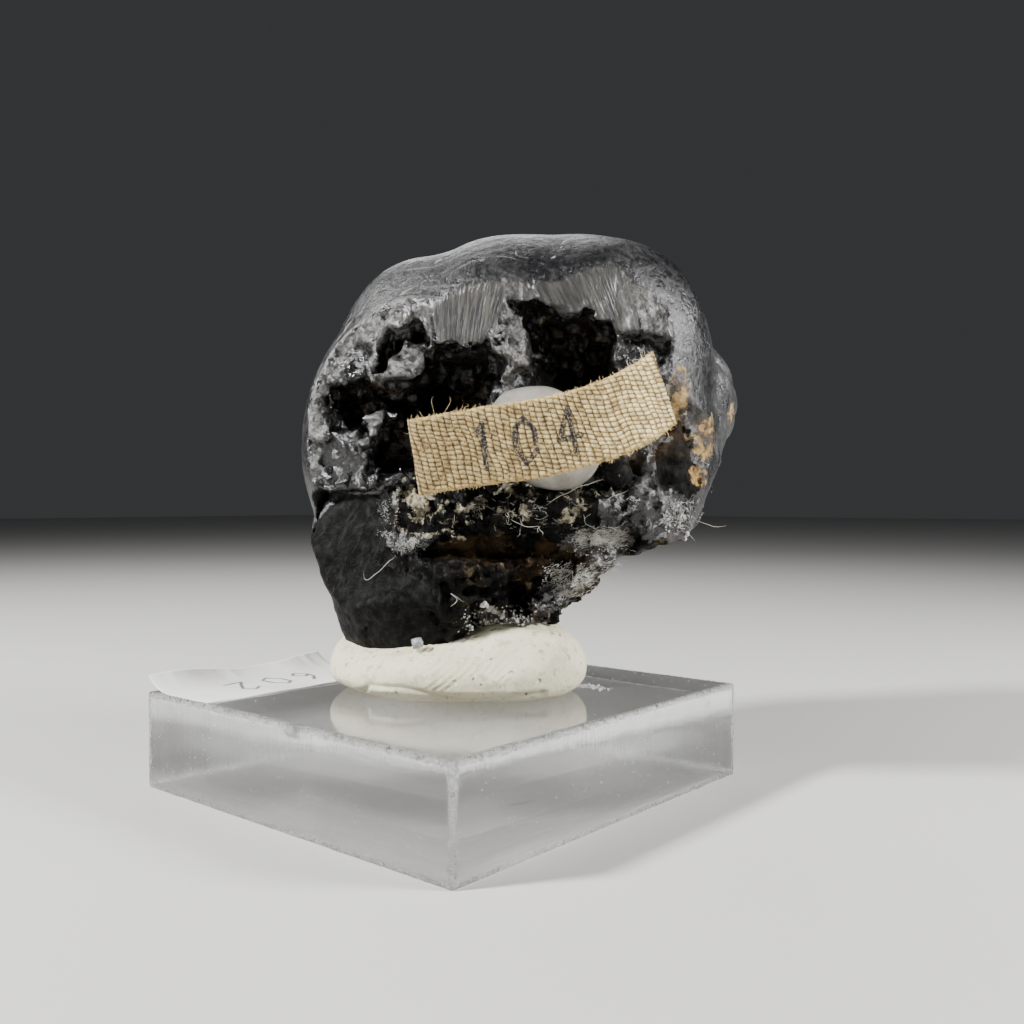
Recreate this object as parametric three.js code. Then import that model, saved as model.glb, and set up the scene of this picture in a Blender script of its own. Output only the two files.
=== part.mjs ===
// A cassiterite nodule, seen on its broken side, held by a lump of mounting putty on a clear block.
// A cloth number strip is glued to the broken side, and a paper sticker lies on the block.
// Millimetres, +Z up. The origin is the middle of the block's underside, and the block's sides
// run along X and Y. The nodule, putty, strip and glue are set in a frame turned about Z, in which
// x runs along the broken side, y into the nodule and z up.
import * as THREE from 'three';
import { mergeVertices } from 'three/addons/utils/BufferGeometryUtils.js';

// Clear block
const BLOCK_SIDE = 38.1;
const BLOCK_HEIGHT = 8.6;
const BLOCK_BEVEL = 0.25;

// The broken side faces this far round from -Y, in degrees
const FACE_TURN = 40.6;

// Gap left between pieces that touch
const CONTACT_GAP = 0.3;
const PUTTY_LIFT = 0.1;

// Grid steps that the grown surfaces are worked out on
const NODULE_STEP = 1.42;
const PUTTY_STEP = 1.25;
const GLUE_STEP = 0.9;

// Rounded lobes of the nodule: centre and half sizes
const LOBES = [
  { at: [5.6, 3.0, 30.8], half: [19.4, 14.5, 17.8] }, // whole dome
  { at: [13.0, 3.0, 38.9], half: [11.8, 11.0, 11.8] }, // crown, right
  { at: [5.0, 3.0, 38.9], half: [11.6, 11.0, 11.6] }, // crown, left
  { at: [-0.5, 4.0, 38.5], half: [9.2, 9.2, 9.2] }, // left shoulder
  { at: [19.6, 9.0, 35.0], half: [8.6, 8.0, 8.6] }, // right rear, upper
  { at: [17.9, 7.0, 28.8], half: [8.6, 7.5, 7.4] }, // right rear, lower
  { at: [-3.5, 9.0, 33.5], half: [9.0, 9.5, 9.6] }, // left rear
  { at: [8.0, 10.5, 38.0], half: [11.5, 9.0, 11.0] }, // crown, rear
  { at: [5.5, 11.0, 25.0], half: [12.0, 8.5, 10.5] }, // back
];
const LOBE_BLEND = 0.9;

// Hollows sunk into the broken side: middle, half sizes, turn in degrees, depth and how sharp the
// edge is
const HOLLOWS = [
  { x: 1.8, z: 35.9, wide: 4.4, high: 3.5, turn: 0, depth: 8.0, edge: 7 }, // large left hollow
  { x: -2.2, z: 34.3, wide: 2.6, high: 1.8, turn: 0, depth: 4.5, edge: 6 }, // its left arm
  { x: 11.3, z: 38.4, wide: 3.8, high: 4.2, turn: -12, depth: 9.0, edge: 7 }, // large right hollow
  { x: 12.2, z: 34.5, wide: 4.5, high: 3.0, turn: 0, depth: 7.0, edge: 6 }, // its foot
  { x: 7.4, z: 41.4, wide: 0.8, high: 1.2, turn: -12, depth: 4.0, edge: 6 }, // its upper corner
  { x: -6.6, z: 34.4, wide: 2.9, high: 1.9, turn: 12, depth: 4.6, edge: 6 }, // in the crags
  { x: -4.3, z: 30.9, wide: 1.9, high: 2.2, turn: -30, depth: 5.5, edge: 6 }, // by the strip's end
];

// Flat plates that stand over the hollows: corners as x and z, a place on the plate as x, z and
// depth, and how the depth grows along x and z
const PLATES = [
  { // silky plate over the left hollow
    corners: [[-1.2, 51], [-1.1, 43.3], [-0.3, 39.1], [3.5, 39.1], [5.5, 42], [5.8, 44], [5.8, 51]],
    at: [2.0, 41.5, -6.9],
    slope: [-0.03, 0.06],
  },
  { // narrow plate beside it
    corners: [[-3, 51], [-2.8, 43], [-2.2, 41.3], [-0.9, 39.3], [-0.3, 39.1], [-1.1, 43.3], [-1.2, 51]],
    at: [-0.9, 41.3, -6.75],
    slope: [-0.75, -0.1],
  },
  { // bridge between the large plates
    corners: [[5.6, 51], [5.5, 43.9], [5.7, 43], [7.2, 42.8], [8.5, 43], [8.9, 51]],
    at: [7.0, 43.5, -6.6],
    slope: [0.05, 0.05],
  },
  { // over the right hollow
    corners: [[8.2, 51], [7.9, 43.6], [8.5, 42.8], [10.2, 41.7], [12.3, 41.8], [12.9, 51]],
    at: [10.6, 43.6, -6.5],
    slope: [0.02, 0.1],
  },
  { // right of it
    corners: [[12.2, 51], [12.1, 41.9], [13.2, 41.2], [14.7, 39.2], [15.3, 39.3], [15.1, 43], [14.6, 51]],
    at: [13.6, 42.6, -6.4],
    slope: [0.1, 0.08],
  },
  { // at the right rim
    corners: [[14.6, 51], [15.2, 43], [15.4, 39.8], [18.8, 39.6], [23, 39.9], [23, 51]],
    at: [17.4, 41.6, -6.2],
    slope: [0.1, 0.08],
  },
  { // under the right rim
    corners: [[15.1, 39.9], [14.7, 38], [15, 35.5], [19.2, 35], [19, 39.8]],
    at: [16.8, 38.6, -5.7],
    slope: [0.25, 0.35],
  },
  { // rough crag on the left
    corners: [[-6.4, 36.4], [-5.2, 35.6], [-3.5, 35.7], [-0.8, 39.1], [-2.6, 42.8], [-4.4, 42], [-6.7, 37.2]],
    at: [-3.8, 38.5, -5.9],
    slope: [-0.2, 0.06],
  },
];
const PLATE_RIM = 0.3;

// Broken side of the dome: depth of its flat middle, how it slopes back at both ends, and the broad
// sunk band across it
const FACE_DEPTH = -6.3;
const FACE_LEFT = { from: -1.5, slope: 0.42, edge: -9.5, flatter: 0.35 };
const FACE_RIGHT = { from: 14.5, slope: 0.05, foot: 0.5, top: 36, height: 4 };
const FACE_BAND = { top: 38, height: 5, sink: 2.6, right: 19, fade: 4, left: -6, rise: 6 };

// Block of rock at the lower left, broken to a leaning face with a step across it
const CHEEK = { at: [-2.0, 2.5, 20.8], half: [11.4, 10.0, 8.8] };
const CHEEK_SIDE = { x: -10.7, z: 16.3, across: -0.91, up: -0.415 };
const FOOT = { at: [-2.8, 2.0, 16.6], half: [7.8, 7.6, 6.4] };
const SOLE = { at: [-3.0, 1.5, 14.0], half: [6.6, 6.0, 3.7] };
const CHEEK_FACE = { left: -12, depth: -2.0, lean: -0.4, turn: 2, back: 0.25, z: 19, rise: 0.12 };
const CHEEK_STEP = { z: 18.6, rise: 0.2, bend: 0.05, middle: -6, drop: 0.55, width: 0.5, right: -1.5 };

// Forms of the broken middle, and what is hollowed out under them
const ROOT = { at: [5.0, 4.0, 20.0], half: [9.5, 8.0, 8.0] };
const LEDGE = { at: [6.5, -0.6, 25.2], half: [14.0, 6.4, 2.8] };
const PILLAR = { at: [6.2, -0.5, 37.0], half: [2.0, 4.8, 6.0] };
const NOSE = { at: [8.5, 0.0, 31.0], half: [5.2, 5.2, 3.8] };
const UPPER_RECESS = { at: [8.0, -7.5, 21.6], half: [12.5, 4.5, 1.6] };
const LOWER_RECESS = { at: [9.5, -6.5, 17.8], half: [8.0, 4.0, 1.2] };
const UNDERCUT = { at: [14.5, 0.0, 9.0], half: [8.2, 18.0, 8.0] };
const NOTCH = { x: 20.9, z: 11.6, radius: 10.8, ripple: 0.4 };
const CORNER = { x: 23.3, z: 24.4, across: 0.857, down: 0.514 };
const CRACK = { from: [-10.8, 26.9], to: [-12.0, 23.3], half: 0.4, back: 0.2 };

// Rounded lumps at the lower right and on the ledge
const LUMPS = [
  { at: [20.2, -2.5, 30.3], half: [1.4, 1.7, 1.6] },
  { at: [20.3, -2.2, 28.0], half: [1.5, 1.7, 1.0] },
  { at: [21.5, -1.2, 27.2], half: [1.4, 1.6, 1.0] },
  { at: [15.0, -4.3, 28.1], half: [1.5, 1.8, 1.2] },
  { at: [12.3, -3.7, 27.5], half: [1.3, 1.4, 0.8] },
  { at: [16.6, -3.7, 26.3], half: [1.5, 1.3, 1.0] },
  { at: [13.8, -5.2, 25.5], half: [1.7, 1.3, 0.8] },
  { at: [18.4, -2.8, 24.9], half: [1.2, 1.3, 0.9] },
];

// Putty: a pressed ring of lumps round the nodule's foot
const PUTTY_LUMPS = [
  { at: [1.0, -0.8, 10.4], half: [11.2, 8.3, 2.5] }, // spread foot
  { at: [6.6, -1.4, 11.4], half: [5.8, 6.0, 3.9] }, // high right lump
  { at: [-7.0, 2.0, 11.2], half: [3.6, 5.6, 2.7] }, // left rim
  { at: [1.5, -4.2, 10.8], half: [8.6, 4.6, 2.2] }, // front roll
  { at: [2.0, 4.6, 11.0], half: [8.2, 3.6, 2.8] }, // rear roll
];
const PUTTY_BLEND = 1.6;

// Cloth strip: the middle line that it follows, its width and thickness
const STRIP_LINE = [
  [-2.3, -8.3, 29.3],
  [3.3, -8.8, 30.2],
  [8.3, -9.4, 30.9],
  [13.1, -10.4, 32.1],
  [16.1, -12.3, 33.4],
  [17.8, -14.3, 34.5],
];
const STRIP_WIDTH = 6.4;
const STRIP_THICKNESS = 0.5;
const STRIP_STEPS = 26;

// Glue behind the strip
const GLUE = { at: [8.8, -6.2, 31.1], half: [4.8, 3.6, 4.5] };
const GLUE_LEAN = 0.24;
const GLUE_FRONT = { x: 3.3, depth: -8.8, slope: -0.1, curve: -0.006 };

// Paper sticker on the block, its outer long edge curled up
const STICKER_LENGTH = 19.4;
const STICKER_WIDTH = 10.0;
const STICKER_THICKNESS = 0.25;
const STICKER_MIDDLE_Y = -9.2;
const STICKER_INNER_X = -9.6;
const STICKER_LIFT = 0.05;
const CURL_START = 0.62;
const CURL_HEIGHT = 1.2;
const STICKER_POINTS = 16;

const SMALLEST = 1e-6;

function finish(colour, roughness, metalness, opacity = 1) {
  return new THREE.MeshStandardMaterial({
    color: colour, roughness, metalness, opacity, transparent: opacity < 1,
  });
}

const blackOre = finish(0x1c1c1e, 0.35, 0.1);
const creamPutty = finish(0xcfc9b4, 0.8, 0);
const clearAcrylic = finish(0xe9eff0, 0.06, 0, 0.35);
const tanCloth = finish(0xc39a5f, 0.95, 0);
const whiteGlue = finish(0xcfcabf, 0.35, 0, 0.85);
const whitePaper = finish(0xe8e6e0, 0.8, 0);

// Distance to an ellipsoid, near enough for joining: less than nothing inside
function ellipsoid(p, { at, half }) {
  let size = 0;
  let slope = 0;
  for (let axis = 0; axis < 3; axis += 1) {
    const part = (p[axis] - at[axis]) / half[axis];
    size += part * part;
    slope += (part / half[axis]) ** 2;
  }
  const radius = Math.sqrt(size);
  return (radius * (radius - 1)) / Math.max(Math.sqrt(slope), SMALLEST);
}

// Join of two solids, with a fillet of about the given size
function join(a, b, fillet) {
  const share = THREE.MathUtils.clamp(0.5 + (0.5 * (b - a)) / fillet, 0, 1);
  return b + (a - b) * share - fillet * share * (1 - share);
}

// What two solids share, with the edge rounded
function overlap(a, b, fillet) {
  return -join(-a, -b, fillet);
}

function ramp(t) {
  return THREE.MathUtils.smoothstep(t, 0, 1);
}

// Smooth unevenness between about -1 and 1, with swells of the given size
function swell(p, size, seed) {
  const scale = (2 * Math.PI) / size;
  const [x, y, z] = p.map((value) => value * scale);
  const a = Math.sin(x + 1.7 * Math.sin(0.61 * z + seed) + seed);
  const b = Math.sin(y * 1.13 + 1.9 * Math.sin(0.53 * x + 2 * seed) + 2.1);
  const c = Math.sin(z * 0.97 + 1.5 * Math.sin(0.57 * y + 3 * seed) + 4.2);
  return (a + b + c + a * b * c) / 3.2;
}

// Depth that one hollow adds at a place on the broken side: full inside, none outside its rim
function hollowDepth(x, z, hollow) {
  const turn = THREE.MathUtils.degToRad(hollow.turn);
  const dx = x - hollow.x;
  const dz = z - hollow.z;
  const across = Math.abs(dx * Math.cos(turn) + dz * Math.sin(turn)) / hollow.wide;
  const up = Math.abs(dz * Math.cos(turn) - dx * Math.sin(turn)) / hollow.high;
  const reach = Math.cbrt(across ** 3 + up ** 3);
  return hollow.depth * ramp(((1 - reach) * hollow.edge) / 4 + 0.5);
}

// How far a place lies outside an outline of corners given as x and z, less than nothing inside
function outsideOf(corners, x, z) {
  return Math.max(...corners.map(([ax, az], i) => {
    const [bx, bz] = corners[(i + 1) % corners.length];
    return ((bz - az) * (x - ax) - (bx - ax) * (z - az)) / Math.hypot(bx - ax, bz - az);
  }));
}

// How far in the broken side lies, as a relief over x and z: hollows first, then plates over them
function brokenFace([x, , z]) {
  const wavyX = x + 0.3 * Math.sin(1.1 * z + 0.6 * x);
  const wavyZ = z + 0.3 * Math.sin(1.2 * x + 0.5 * z);
  let depth = FACE_DEPTH;
  depth += FACE_LEFT.slope * Math.max(FACE_LEFT.from - x, 0);
  depth -= FACE_LEFT.flatter * Math.max(FACE_LEFT.edge - x, 0);
  const beyond = Math.max(x - FACE_RIGHT.from, 0);
  depth += (FACE_RIGHT.slope + FACE_RIGHT.foot * ramp((FACE_RIGHT.top - z) / FACE_RIGHT.height)) * beyond;
  const band = ramp((FACE_BAND.top - z) / FACE_BAND.height) * ramp((FACE_BAND.right - x) / FACE_BAND.fade);
  depth += FACE_BAND.sink * band * ramp((x - FACE_BAND.left) / FACE_BAND.rise);
  for (const hollow of HOLLOWS) {
    depth += hollowDepth(wavyX, wavyZ, hollow);
  }
  for (const { corners, at, slope } of PLATES) {
    const share = ramp(1 - outsideOf(corners, x, z) / PLATE_RIM);
    const flat = at[2] + slope[0] * (x - at[0]) + slope[1] * (z - at[1]);
    depth = THREE.MathUtils.lerp(depth, flat, share);
  }
  return depth;
}

// Whole outer skin, before it was broken: lobes run together with creases between them
function outerSkin(p) {
  const q = [11, 12, 13].map((size, axis) => p[axis] + 0.3 * swell(p, size, axis + 1));
  return LOBES.map((lobe) => ellipsoid(q, lobe)).reduce((a, b) => join(a, b, LOBE_BLEND));
}

// Lower left block: lobes cut back to a leaning face with a step
function cheek(p) {
  const [x, y, z] = p;
  const side = (x - CHEEK_SIDE.x) * CHEEK_SIDE.across + (z - CHEEK_SIDE.z) * CHEEK_SIDE.up;
  const upper = overlap(ellipsoid(p, CHEEK), side, 1.5);
  const lobes = join(join(upper, ellipsoid(p, FOOT), 0.5), ellipsoid(p, SOLE), 0.8);
  let depth = CHEEK_FACE.depth + CHEEK_FACE.lean * (Math.min(x, CHEEK_FACE.turn) - CHEEK_FACE.left);
  depth += CHEEK_FACE.back * Math.max(x - CHEEK_FACE.turn, 0);
  depth += CHEEK_FACE.rise * (z - CHEEK_FACE.z);
  const under = CHEEK_STEP.z - z + CHEEK_STEP.rise * x - CHEEK_STEP.bend * (x - CHEEK_STEP.middle) ** 2;
  depth -= CHEEK_STEP.drop * ramp(under / CHEEK_STEP.width) * ramp((CHEEK_STEP.right - x) / 2);
  return overlap(lobes, (depth - y) * 0.8, 0.8);
}

// Crack between the lower left block's skin and its broken face
function crack([x, y, z]) {
  const line = new THREE.Line3(new THREE.Vector3(...CRACK.from, 0), new THREE.Vector3(...CRACK.to, 0));
  const place = new THREE.Vector3(x, z, 0);
  const away = line.closestPointToPoint(place, true, new THREE.Vector3()).distanceTo(place);
  return overlap(away - CRACK.half, y - CRACK.back, 0.2);
}

function nodule(p) {
  const [x, y, z] = p;
  let solid = overlap(outerSkin(p), (brokenFace(p) - y) * 0.6, 0.3);
  solid = join(solid, cheek(p), 0.5);
  solid = join(solid, ellipsoid(p, ROOT), 1.0);
  solid = join(solid, ellipsoid(p, LEDGE) + 0.35 * swell(p, 4.0, 0.5), 0.8);
  solid = join(solid, ellipsoid(p, PILLAR) + 0.3 * swell(p, 3.6, 0.9), 0.5);
  solid = join(solid, ellipsoid(p, NOSE) + 0.3 * swell(p, 5.0, 0.9), 0.8);
  for (const lump of LUMPS) {
    solid = join(solid, ellipsoid(p, lump), 0.25);
  }
  const notch = Math.hypot(x - NOTCH.x, z - NOTCH.z) - NOTCH.radius - NOTCH.ripple * Math.sin(y * 0.7);
  solid = overlap(solid, -notch, 0.6);
  solid = overlap(solid, -ellipsoid(p, UNDERCUT), 0.8);
  solid = overlap(solid, -ellipsoid(p, UPPER_RECESS) - 0.3 * swell(p, 5.0, 1.7), 0.4);
  solid = overlap(solid, -ellipsoid(p, LOWER_RECESS) - 0.3 * swell(p, 5.0, 2.7), 0.4);
  solid = overlap(solid, -crack(p), 0.2);
  const corner = (x - CORNER.x) * CORNER.across + (CORNER.z - z) * CORNER.down;
  return overlap(solid, corner, 0.8);
}

// Putty lumps run together, flat on the block, pressed clear of the nodule
function putty(p) {
  const lumps = PUTTY_LUMPS.map((lump) => ellipsoid(p, lump)).reduce((a, b) => join(a, b, PUTTY_BLEND));
  const underside = BLOCK_HEIGHT + PUTTY_LIFT - p[2];
  return Math.max(lumps, underside, CONTACT_GAP * 1.7 - nodule(p));
}

// Glue: a squeezed drop, flat against the strip and following the rock behind it
function glue(p) {
  const along = p[0] - GLUE_FRONT.x;
  const strip = GLUE_FRONT.depth + GLUE_FRONT.slope * along + GLUE_FRONT.curve * along * along;
  const front = strip + STRIP_THICKNESS / 2 + CONTACT_GAP - p[1];
  const leaning = [p[0] + GLUE_LEAN * (p[2] - GLUE.at[2]), p[1], p[2]];
  return Math.max(ellipsoid(leaning, GLUE), front, CONTACT_GAP - nodule(p));
}

// Grid of equal cells over a box, with the field's value at each of its nodes
function sampleGrid(field, low, high, step) {
  const count = low.map((value, axis) => Math.ceil((high[axis] - value) / step) + 1);
  const stride = [1, count[0], count[0] * count[1]];
  const values = new Float64Array(count[0] * count[1] * count[2]);
  const place = (node) => count.map((size, axis) => low[axis]
    + step * (Math.floor(node / stride[axis]) % size));
  for (let node = 0; node < values.length; node += 1) {
    values[node] = field(place(node));
  }
  return { count, stride, values, step, place };
}

// Nodes that can be reached from one node without crossing the surface
function flood(grid, start) {
  const { count, stride, values } = grid;
  const inside = values[start] < 0;
  const reached = new Uint8Array(values.length);
  const queue = [start];
  reached[start] = 1;
  while (queue.length > 0) {
    const node = queue.pop();
    for (let axis = 0; axis < 3; axis += 1) {
      const at = Math.floor(node / stride[axis]) % count[axis];
      const next = [];
      if (at > 0) next.push(node - stride[axis]);
      if (at < count[axis] - 1) next.push(node + stride[axis]);
      for (const other of next) {
        if (reached[other] === 0 && values[other] < 0 === inside) {
          reached[other] = 1;
          queue.push(other);
        }
      }
    }
  }
  return reached;
}

// Drops crumbs that touch nothing and fills hollows that nothing opens
function keepOneBody(grid) {
  const { values, step } = grid;
  const deepest = values.reduce((best, value, node) => (value < values[best] ? node : best), 0);
  const body = flood(grid, deepest);
  const air = flood(grid, 0);
  for (let node = 0; node < values.length; node += 1) {
    if (values[node] < 0 && body[node] === 0) values[node] = 0.1 * step;
    else if (values[node] >= 0 && air[node] === 0) values[node] = -0.1 * step;
  }
}

// True where the corners of a cell named by the bits of a mask join along the cell's edges
function isJoined(mask) {
  let reached = mask & -mask;
  for (let pass = 0; pass < 7; pass += 1) {
    for (let corner = 0; corner < 8; corner += 1) {
      if ((reached >> corner) & 1) {
        reached |= ((1 << (corner ^ 1)) | (1 << (corner ^ 2)) | (1 << (corner ^ 4))) & mask;
      }
    }
  }
  return reached === mask;
}

const IS_SIMPLE = Array.from({ length: 256 }, (_, mask) => isJoined(mask) && isJoined(255 ^ mask));

// Nodes at the eight corners of the cell whose lowest corner is the given node
function cellCorners(node, stride) {
  return Array.from({ length: 8 }, (_, corner) => node
    + (corner & 1) * stride[0] + ((corner >> 1) & 1) * stride[1] + ((corner >> 2) & 1) * stride[2]);
}

function cellMask(corners, values) {
  return corners.reduce((mask, node, corner) => mask | ((values[node] < 0 ? 1 : 0) << corner), 0);
}

// Lowest corner of each cell of the grid
function* cells({ count, stride }) {
  for (let k = 0; k < count[2] - 1; k += 1) {
    for (let j = 0; j < count[1] - 1; j += 1) {
      for (let i = 0; i < count[0] - 1; i += 1) {
        yield i + j * stride[1] + k * stride[2];
      }
    }
  }
}

// Turns over the weakest corner of each cell that two sheets of the surface would share
function openPinches(grid) {
  const { stride, values, step } = grid;
  let turned = 0;
  for (const node of cells(grid)) {
    const corners = cellCorners(node, stride);
    const mask = cellMask(corners, values);
    if (!IS_SIMPLE[mask]) {
      const order = [0, 1, 2, 3, 4, 5, 6, 7].sort(
        (a, b) => Math.abs(values[corners[a]]) - Math.abs(values[corners[b]]),
      );
      const weakest = order.find((corner) => IS_SIMPLE[mask ^ (1 << corner)]) ?? order[0];
      values[corners[weakest]] = (values[corners[weakest]] < 0 ? 0.1 : -0.1) * step;
      turned += 1;
    }
  }
  return turned;
}

// The point of a crossed cell: the mean of the places where the surface cuts the cell's edges
function cellPoint(grid, corners) {
  const point = new THREE.Vector3();
  let cuts = 0;
  for (let corner = 0; corner < 8; corner += 1) {
    for (let axis = 0; axis < 3; axis += 1) {
      const other = corner | (1 << axis);
      const a = grid.values[corners[corner]];
      const b = grid.values[corners[other]];
      if (other !== corner && a < 0 !== b < 0) {
        const cut = new THREE.Vector3(...grid.place(corners[corner]));
        cut.setComponent(axis, cut.getComponent(axis) + (grid.step * a) / (a - b));
        point.add(cut);
        cuts += 1;
      }
    }
  }
  return point.divideScalar(cuts);
}

// Closed surface where a field is zero: one point in each crossed cell, and one four-sided face
// across each crossed grid edge, split along its shorter diagonal
function surfaceOf(field, low, high, step) {
  const grid = sampleGrid(field, low, high, step);
  keepOneBody(grid);
  for (let pass = 0; pass < 20 && openPinches(grid) > 0; pass += 1) {
    keepOneBody(grid);
  }
  const { stride, values } = grid;
  const points = [];
  const pointOf = new Map();
  for (const node of cells(grid)) {
    const corners = cellCorners(node, stride);
    const mask = cellMask(corners, values);
    if (mask !== 0 && mask !== 255) {
      pointOf.set(node, points.length);
      points.push(cellPoint(grid, corners));
    }
  }
  const faces = [];
  for (const node of pointOf.keys()) {
    for (let axis = 0; axis < 3; axis += 1) {
      const b = stride[(axis + 1) % 3];
      const c = stride[(axis + 2) % 3];
      const isInside = values[node] < 0;
      if (isInside !== values[node + stride[axis]] < 0) {
        const ring = [node - b - c, node - c, node, node - b].map((cell) => pointOf.get(cell));
        if (!isInside) ring.reverse();
        const even = points[ring[0]].distanceTo(points[ring[2]]);
        const odd = points[ring[1]].distanceTo(points[ring[3]]);
        if (even > odd) ring.push(ring.shift());
        faces.push(ring[0], ring[1], ring[2], ring[0], ring[2], ring[3]);
      }
    }
  }
  const geometry = new THREE.BufferGeometry().setFromPoints(points);
  geometry.setIndex(faces);
  geometry.computeVertexNormals();
  return geometry;
}

function noduleGeometry() {
  return surfaceOf(nodule, [-16, -11, 7], [31, 22, 54], NODULE_STEP);
}

function puttyGeometry() {
  return surfaceOf(putty, [-12.5, -11.5, BLOCK_HEIGHT - PUTTY_STEP], [15, 10.5, 18], PUTTY_STEP);
}

function glueGeometry() {
  return surfaceOf(glue, [3, -11, 25], [15, -1, 37], GLUE_STEP);
}

// Square block with fine bevels all round
function blockGeometry() {
  const half = BLOCK_SIDE / 2 - BLOCK_BEVEL;
  const outline = new THREE.Shape();
  outline.moveTo(-half, -half);
  outline.lineTo(half, -half);
  outline.lineTo(half, half);
  outline.lineTo(-half, half);
  outline.closePath();
  const geometry = new THREE.ExtrudeGeometry(outline, {
    depth: BLOCK_HEIGHT - 2 * BLOCK_BEVEL,
    bevelEnabled: true,
    bevelThickness: BLOCK_BEVEL,
    bevelSize: BLOCK_BEVEL,
    bevelSegments: 1,
  });
  return geometry.translate(0, 0, BLOCK_BEVEL);
}

// Flat strip carried along its middle line
function stripGeometry() {
  const half = { thick: STRIP_THICKNESS / 2, wide: STRIP_WIDTH / 2 };
  const section = new THREE.Shape();
  section.moveTo(-half.thick, -half.wide);
  section.lineTo(half.thick, -half.wide);
  section.lineTo(half.thick, half.wide);
  section.lineTo(-half.thick, half.wide);
  section.closePath();
  const line = new THREE.CatmullRomCurve3(STRIP_LINE.map((point) => new THREE.Vector3(...point)));
  return new THREE.ExtrudeGeometry(section, {
    steps: STRIP_STEPS, extrudePath: line, bevelEnabled: false,
  });
}

// Paper: a thin section, flat from its inner edge and curling up at its outer edge, carried along Y
function stickerGeometry() {
  const underside = [];
  for (let i = 0; i < STICKER_POINTS; i += 1) {
    const share = i / (STICKER_POINTS - 1);
    const rise = Math.max(share - CURL_START, 0) / (1 - CURL_START);
    underside.push(new THREE.Vector2(-share * STICKER_WIDTH, CURL_HEIGHT * rise ** 2));
  }
  const upside = underside.map((point) => new THREE.Vector2(point.x, point.y + STICKER_THICKNESS));
  const section = new THREE.Shape([...underside, ...upside.reverse()]);
  const geometry = new THREE.ExtrudeGeometry(section, { depth: STICKER_LENGTH, bevelEnabled: false });
  return geometry.rotateX(Math.PI / 2).translate(0, STICKER_LENGTH / 2, 0);
}

// Mesh whose shared corners are one, so that each piece is one closed body
function piece(name, geometry, material) {
  const plain = geometry.clone();
  plain.deleteAttribute('normal');
  plain.deleteAttribute('uv');
  const closed = mergeVertices(plain, 1e-4);
  closed.computeVertexNormals();
  const mesh = new THREE.Mesh(closed, material);
  mesh.name = name;
  return mesh;
}

const group = new THREE.Group();
group.add(piece('acrylic_block', blockGeometry(), clearAcrylic));

const sticker = piece('paper_sticker', stickerGeometry(), whitePaper);
sticker.position.set(STICKER_INNER_X, STICKER_MIDDLE_Y, BLOCK_HEIGHT + STICKER_LIFT);
group.add(sticker);

const specimen = new THREE.Group();
specimen.rotation.z = THREE.MathUtils.degToRad(FACE_TURN);
specimen.add(piece('cassiterite_nodule', noduleGeometry(), blackOre));
specimen.add(piece('mounting_putty', puttyGeometry(), creamPutty));
specimen.add(piece('cloth_strip', stripGeometry(), tanCloth));
specimen.add(piece('glue_dab', glueGeometry(), whiteGlue));
group.add(specimen);

export default group;
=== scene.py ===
import math

import bmesh
import bpy
import numpy as np
from bpy.props import FloatProperty, FloatVectorProperty, IntProperty, PointerProperty
from bpy.types import Operator, Panel, PropertyGroup
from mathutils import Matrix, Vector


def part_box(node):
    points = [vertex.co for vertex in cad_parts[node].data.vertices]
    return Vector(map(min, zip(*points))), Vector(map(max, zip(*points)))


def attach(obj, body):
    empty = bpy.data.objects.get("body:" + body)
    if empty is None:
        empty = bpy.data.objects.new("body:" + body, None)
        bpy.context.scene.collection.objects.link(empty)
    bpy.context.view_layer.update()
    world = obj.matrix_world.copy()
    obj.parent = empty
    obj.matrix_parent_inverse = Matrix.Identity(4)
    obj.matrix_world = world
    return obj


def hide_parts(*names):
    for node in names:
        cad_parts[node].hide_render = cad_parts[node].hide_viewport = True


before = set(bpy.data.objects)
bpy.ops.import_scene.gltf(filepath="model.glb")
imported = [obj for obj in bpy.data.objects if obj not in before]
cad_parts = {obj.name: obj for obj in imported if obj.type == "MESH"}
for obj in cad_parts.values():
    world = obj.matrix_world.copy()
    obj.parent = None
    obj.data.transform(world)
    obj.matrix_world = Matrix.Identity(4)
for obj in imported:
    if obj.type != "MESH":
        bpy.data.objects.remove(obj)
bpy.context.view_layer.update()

bl_info = {
    "name": "Cassiterite Specimen",
    "version": (1, 0, 0),
    "blender": (4, 5, 0),
    "location": "3D View > Sidebar > Specimen",
    "description": "Dresses a broken cassiterite nodule on its clear display block",
    "category": "Add Mesh",
}

BLOCK_LOW, BLOCK_HIGH = (np.array(corner) * 1000 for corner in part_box("acrylic_block"))
BLOCK_TOP = BLOCK_HIGH[2]
MM = 0.001

# Rounded lobes of the nodule: middle and half sizes
LOBES = (
    ((5.6, 3.0, 30.8), (19.4, 14.5, 17.8)),    # whole dome
    ((13.0, 3.0, 38.9), (11.8, 11.0, 11.8)),   # crown, right
    ((5.0, 3.0, 38.9), (11.6, 11.0, 11.6)),    # crown, left
    ((-0.5, 4.0, 38.5), (9.2, 9.2, 9.2)),      # left shoulder
    ((19.6, 9.0, 35.0), (8.6, 8.0, 8.6)),      # right rear, upper
    ((17.9, 7.0, 28.8), (8.6, 7.5, 7.4)),      # right rear, lower
    ((-3.5, 9.0, 33.5), (9.0, 9.5, 9.6)),      # left rear
    ((8.0, 10.5, 38.0), (11.5, 9.0, 11.0)),    # crown, rear
    ((5.5, 11.0, 25.0), (12.0, 8.5, 10.5)),    # back
    ((-0.6, 3.5, 40.1), (9.2, 9.2, 9.2)),      # filled left shoulder
    ((9.0, 3.0, 39.4), (10.8, 10.5, 10.8)),    # between the crowns
)
LOBE_BLEND = 0.9

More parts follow.
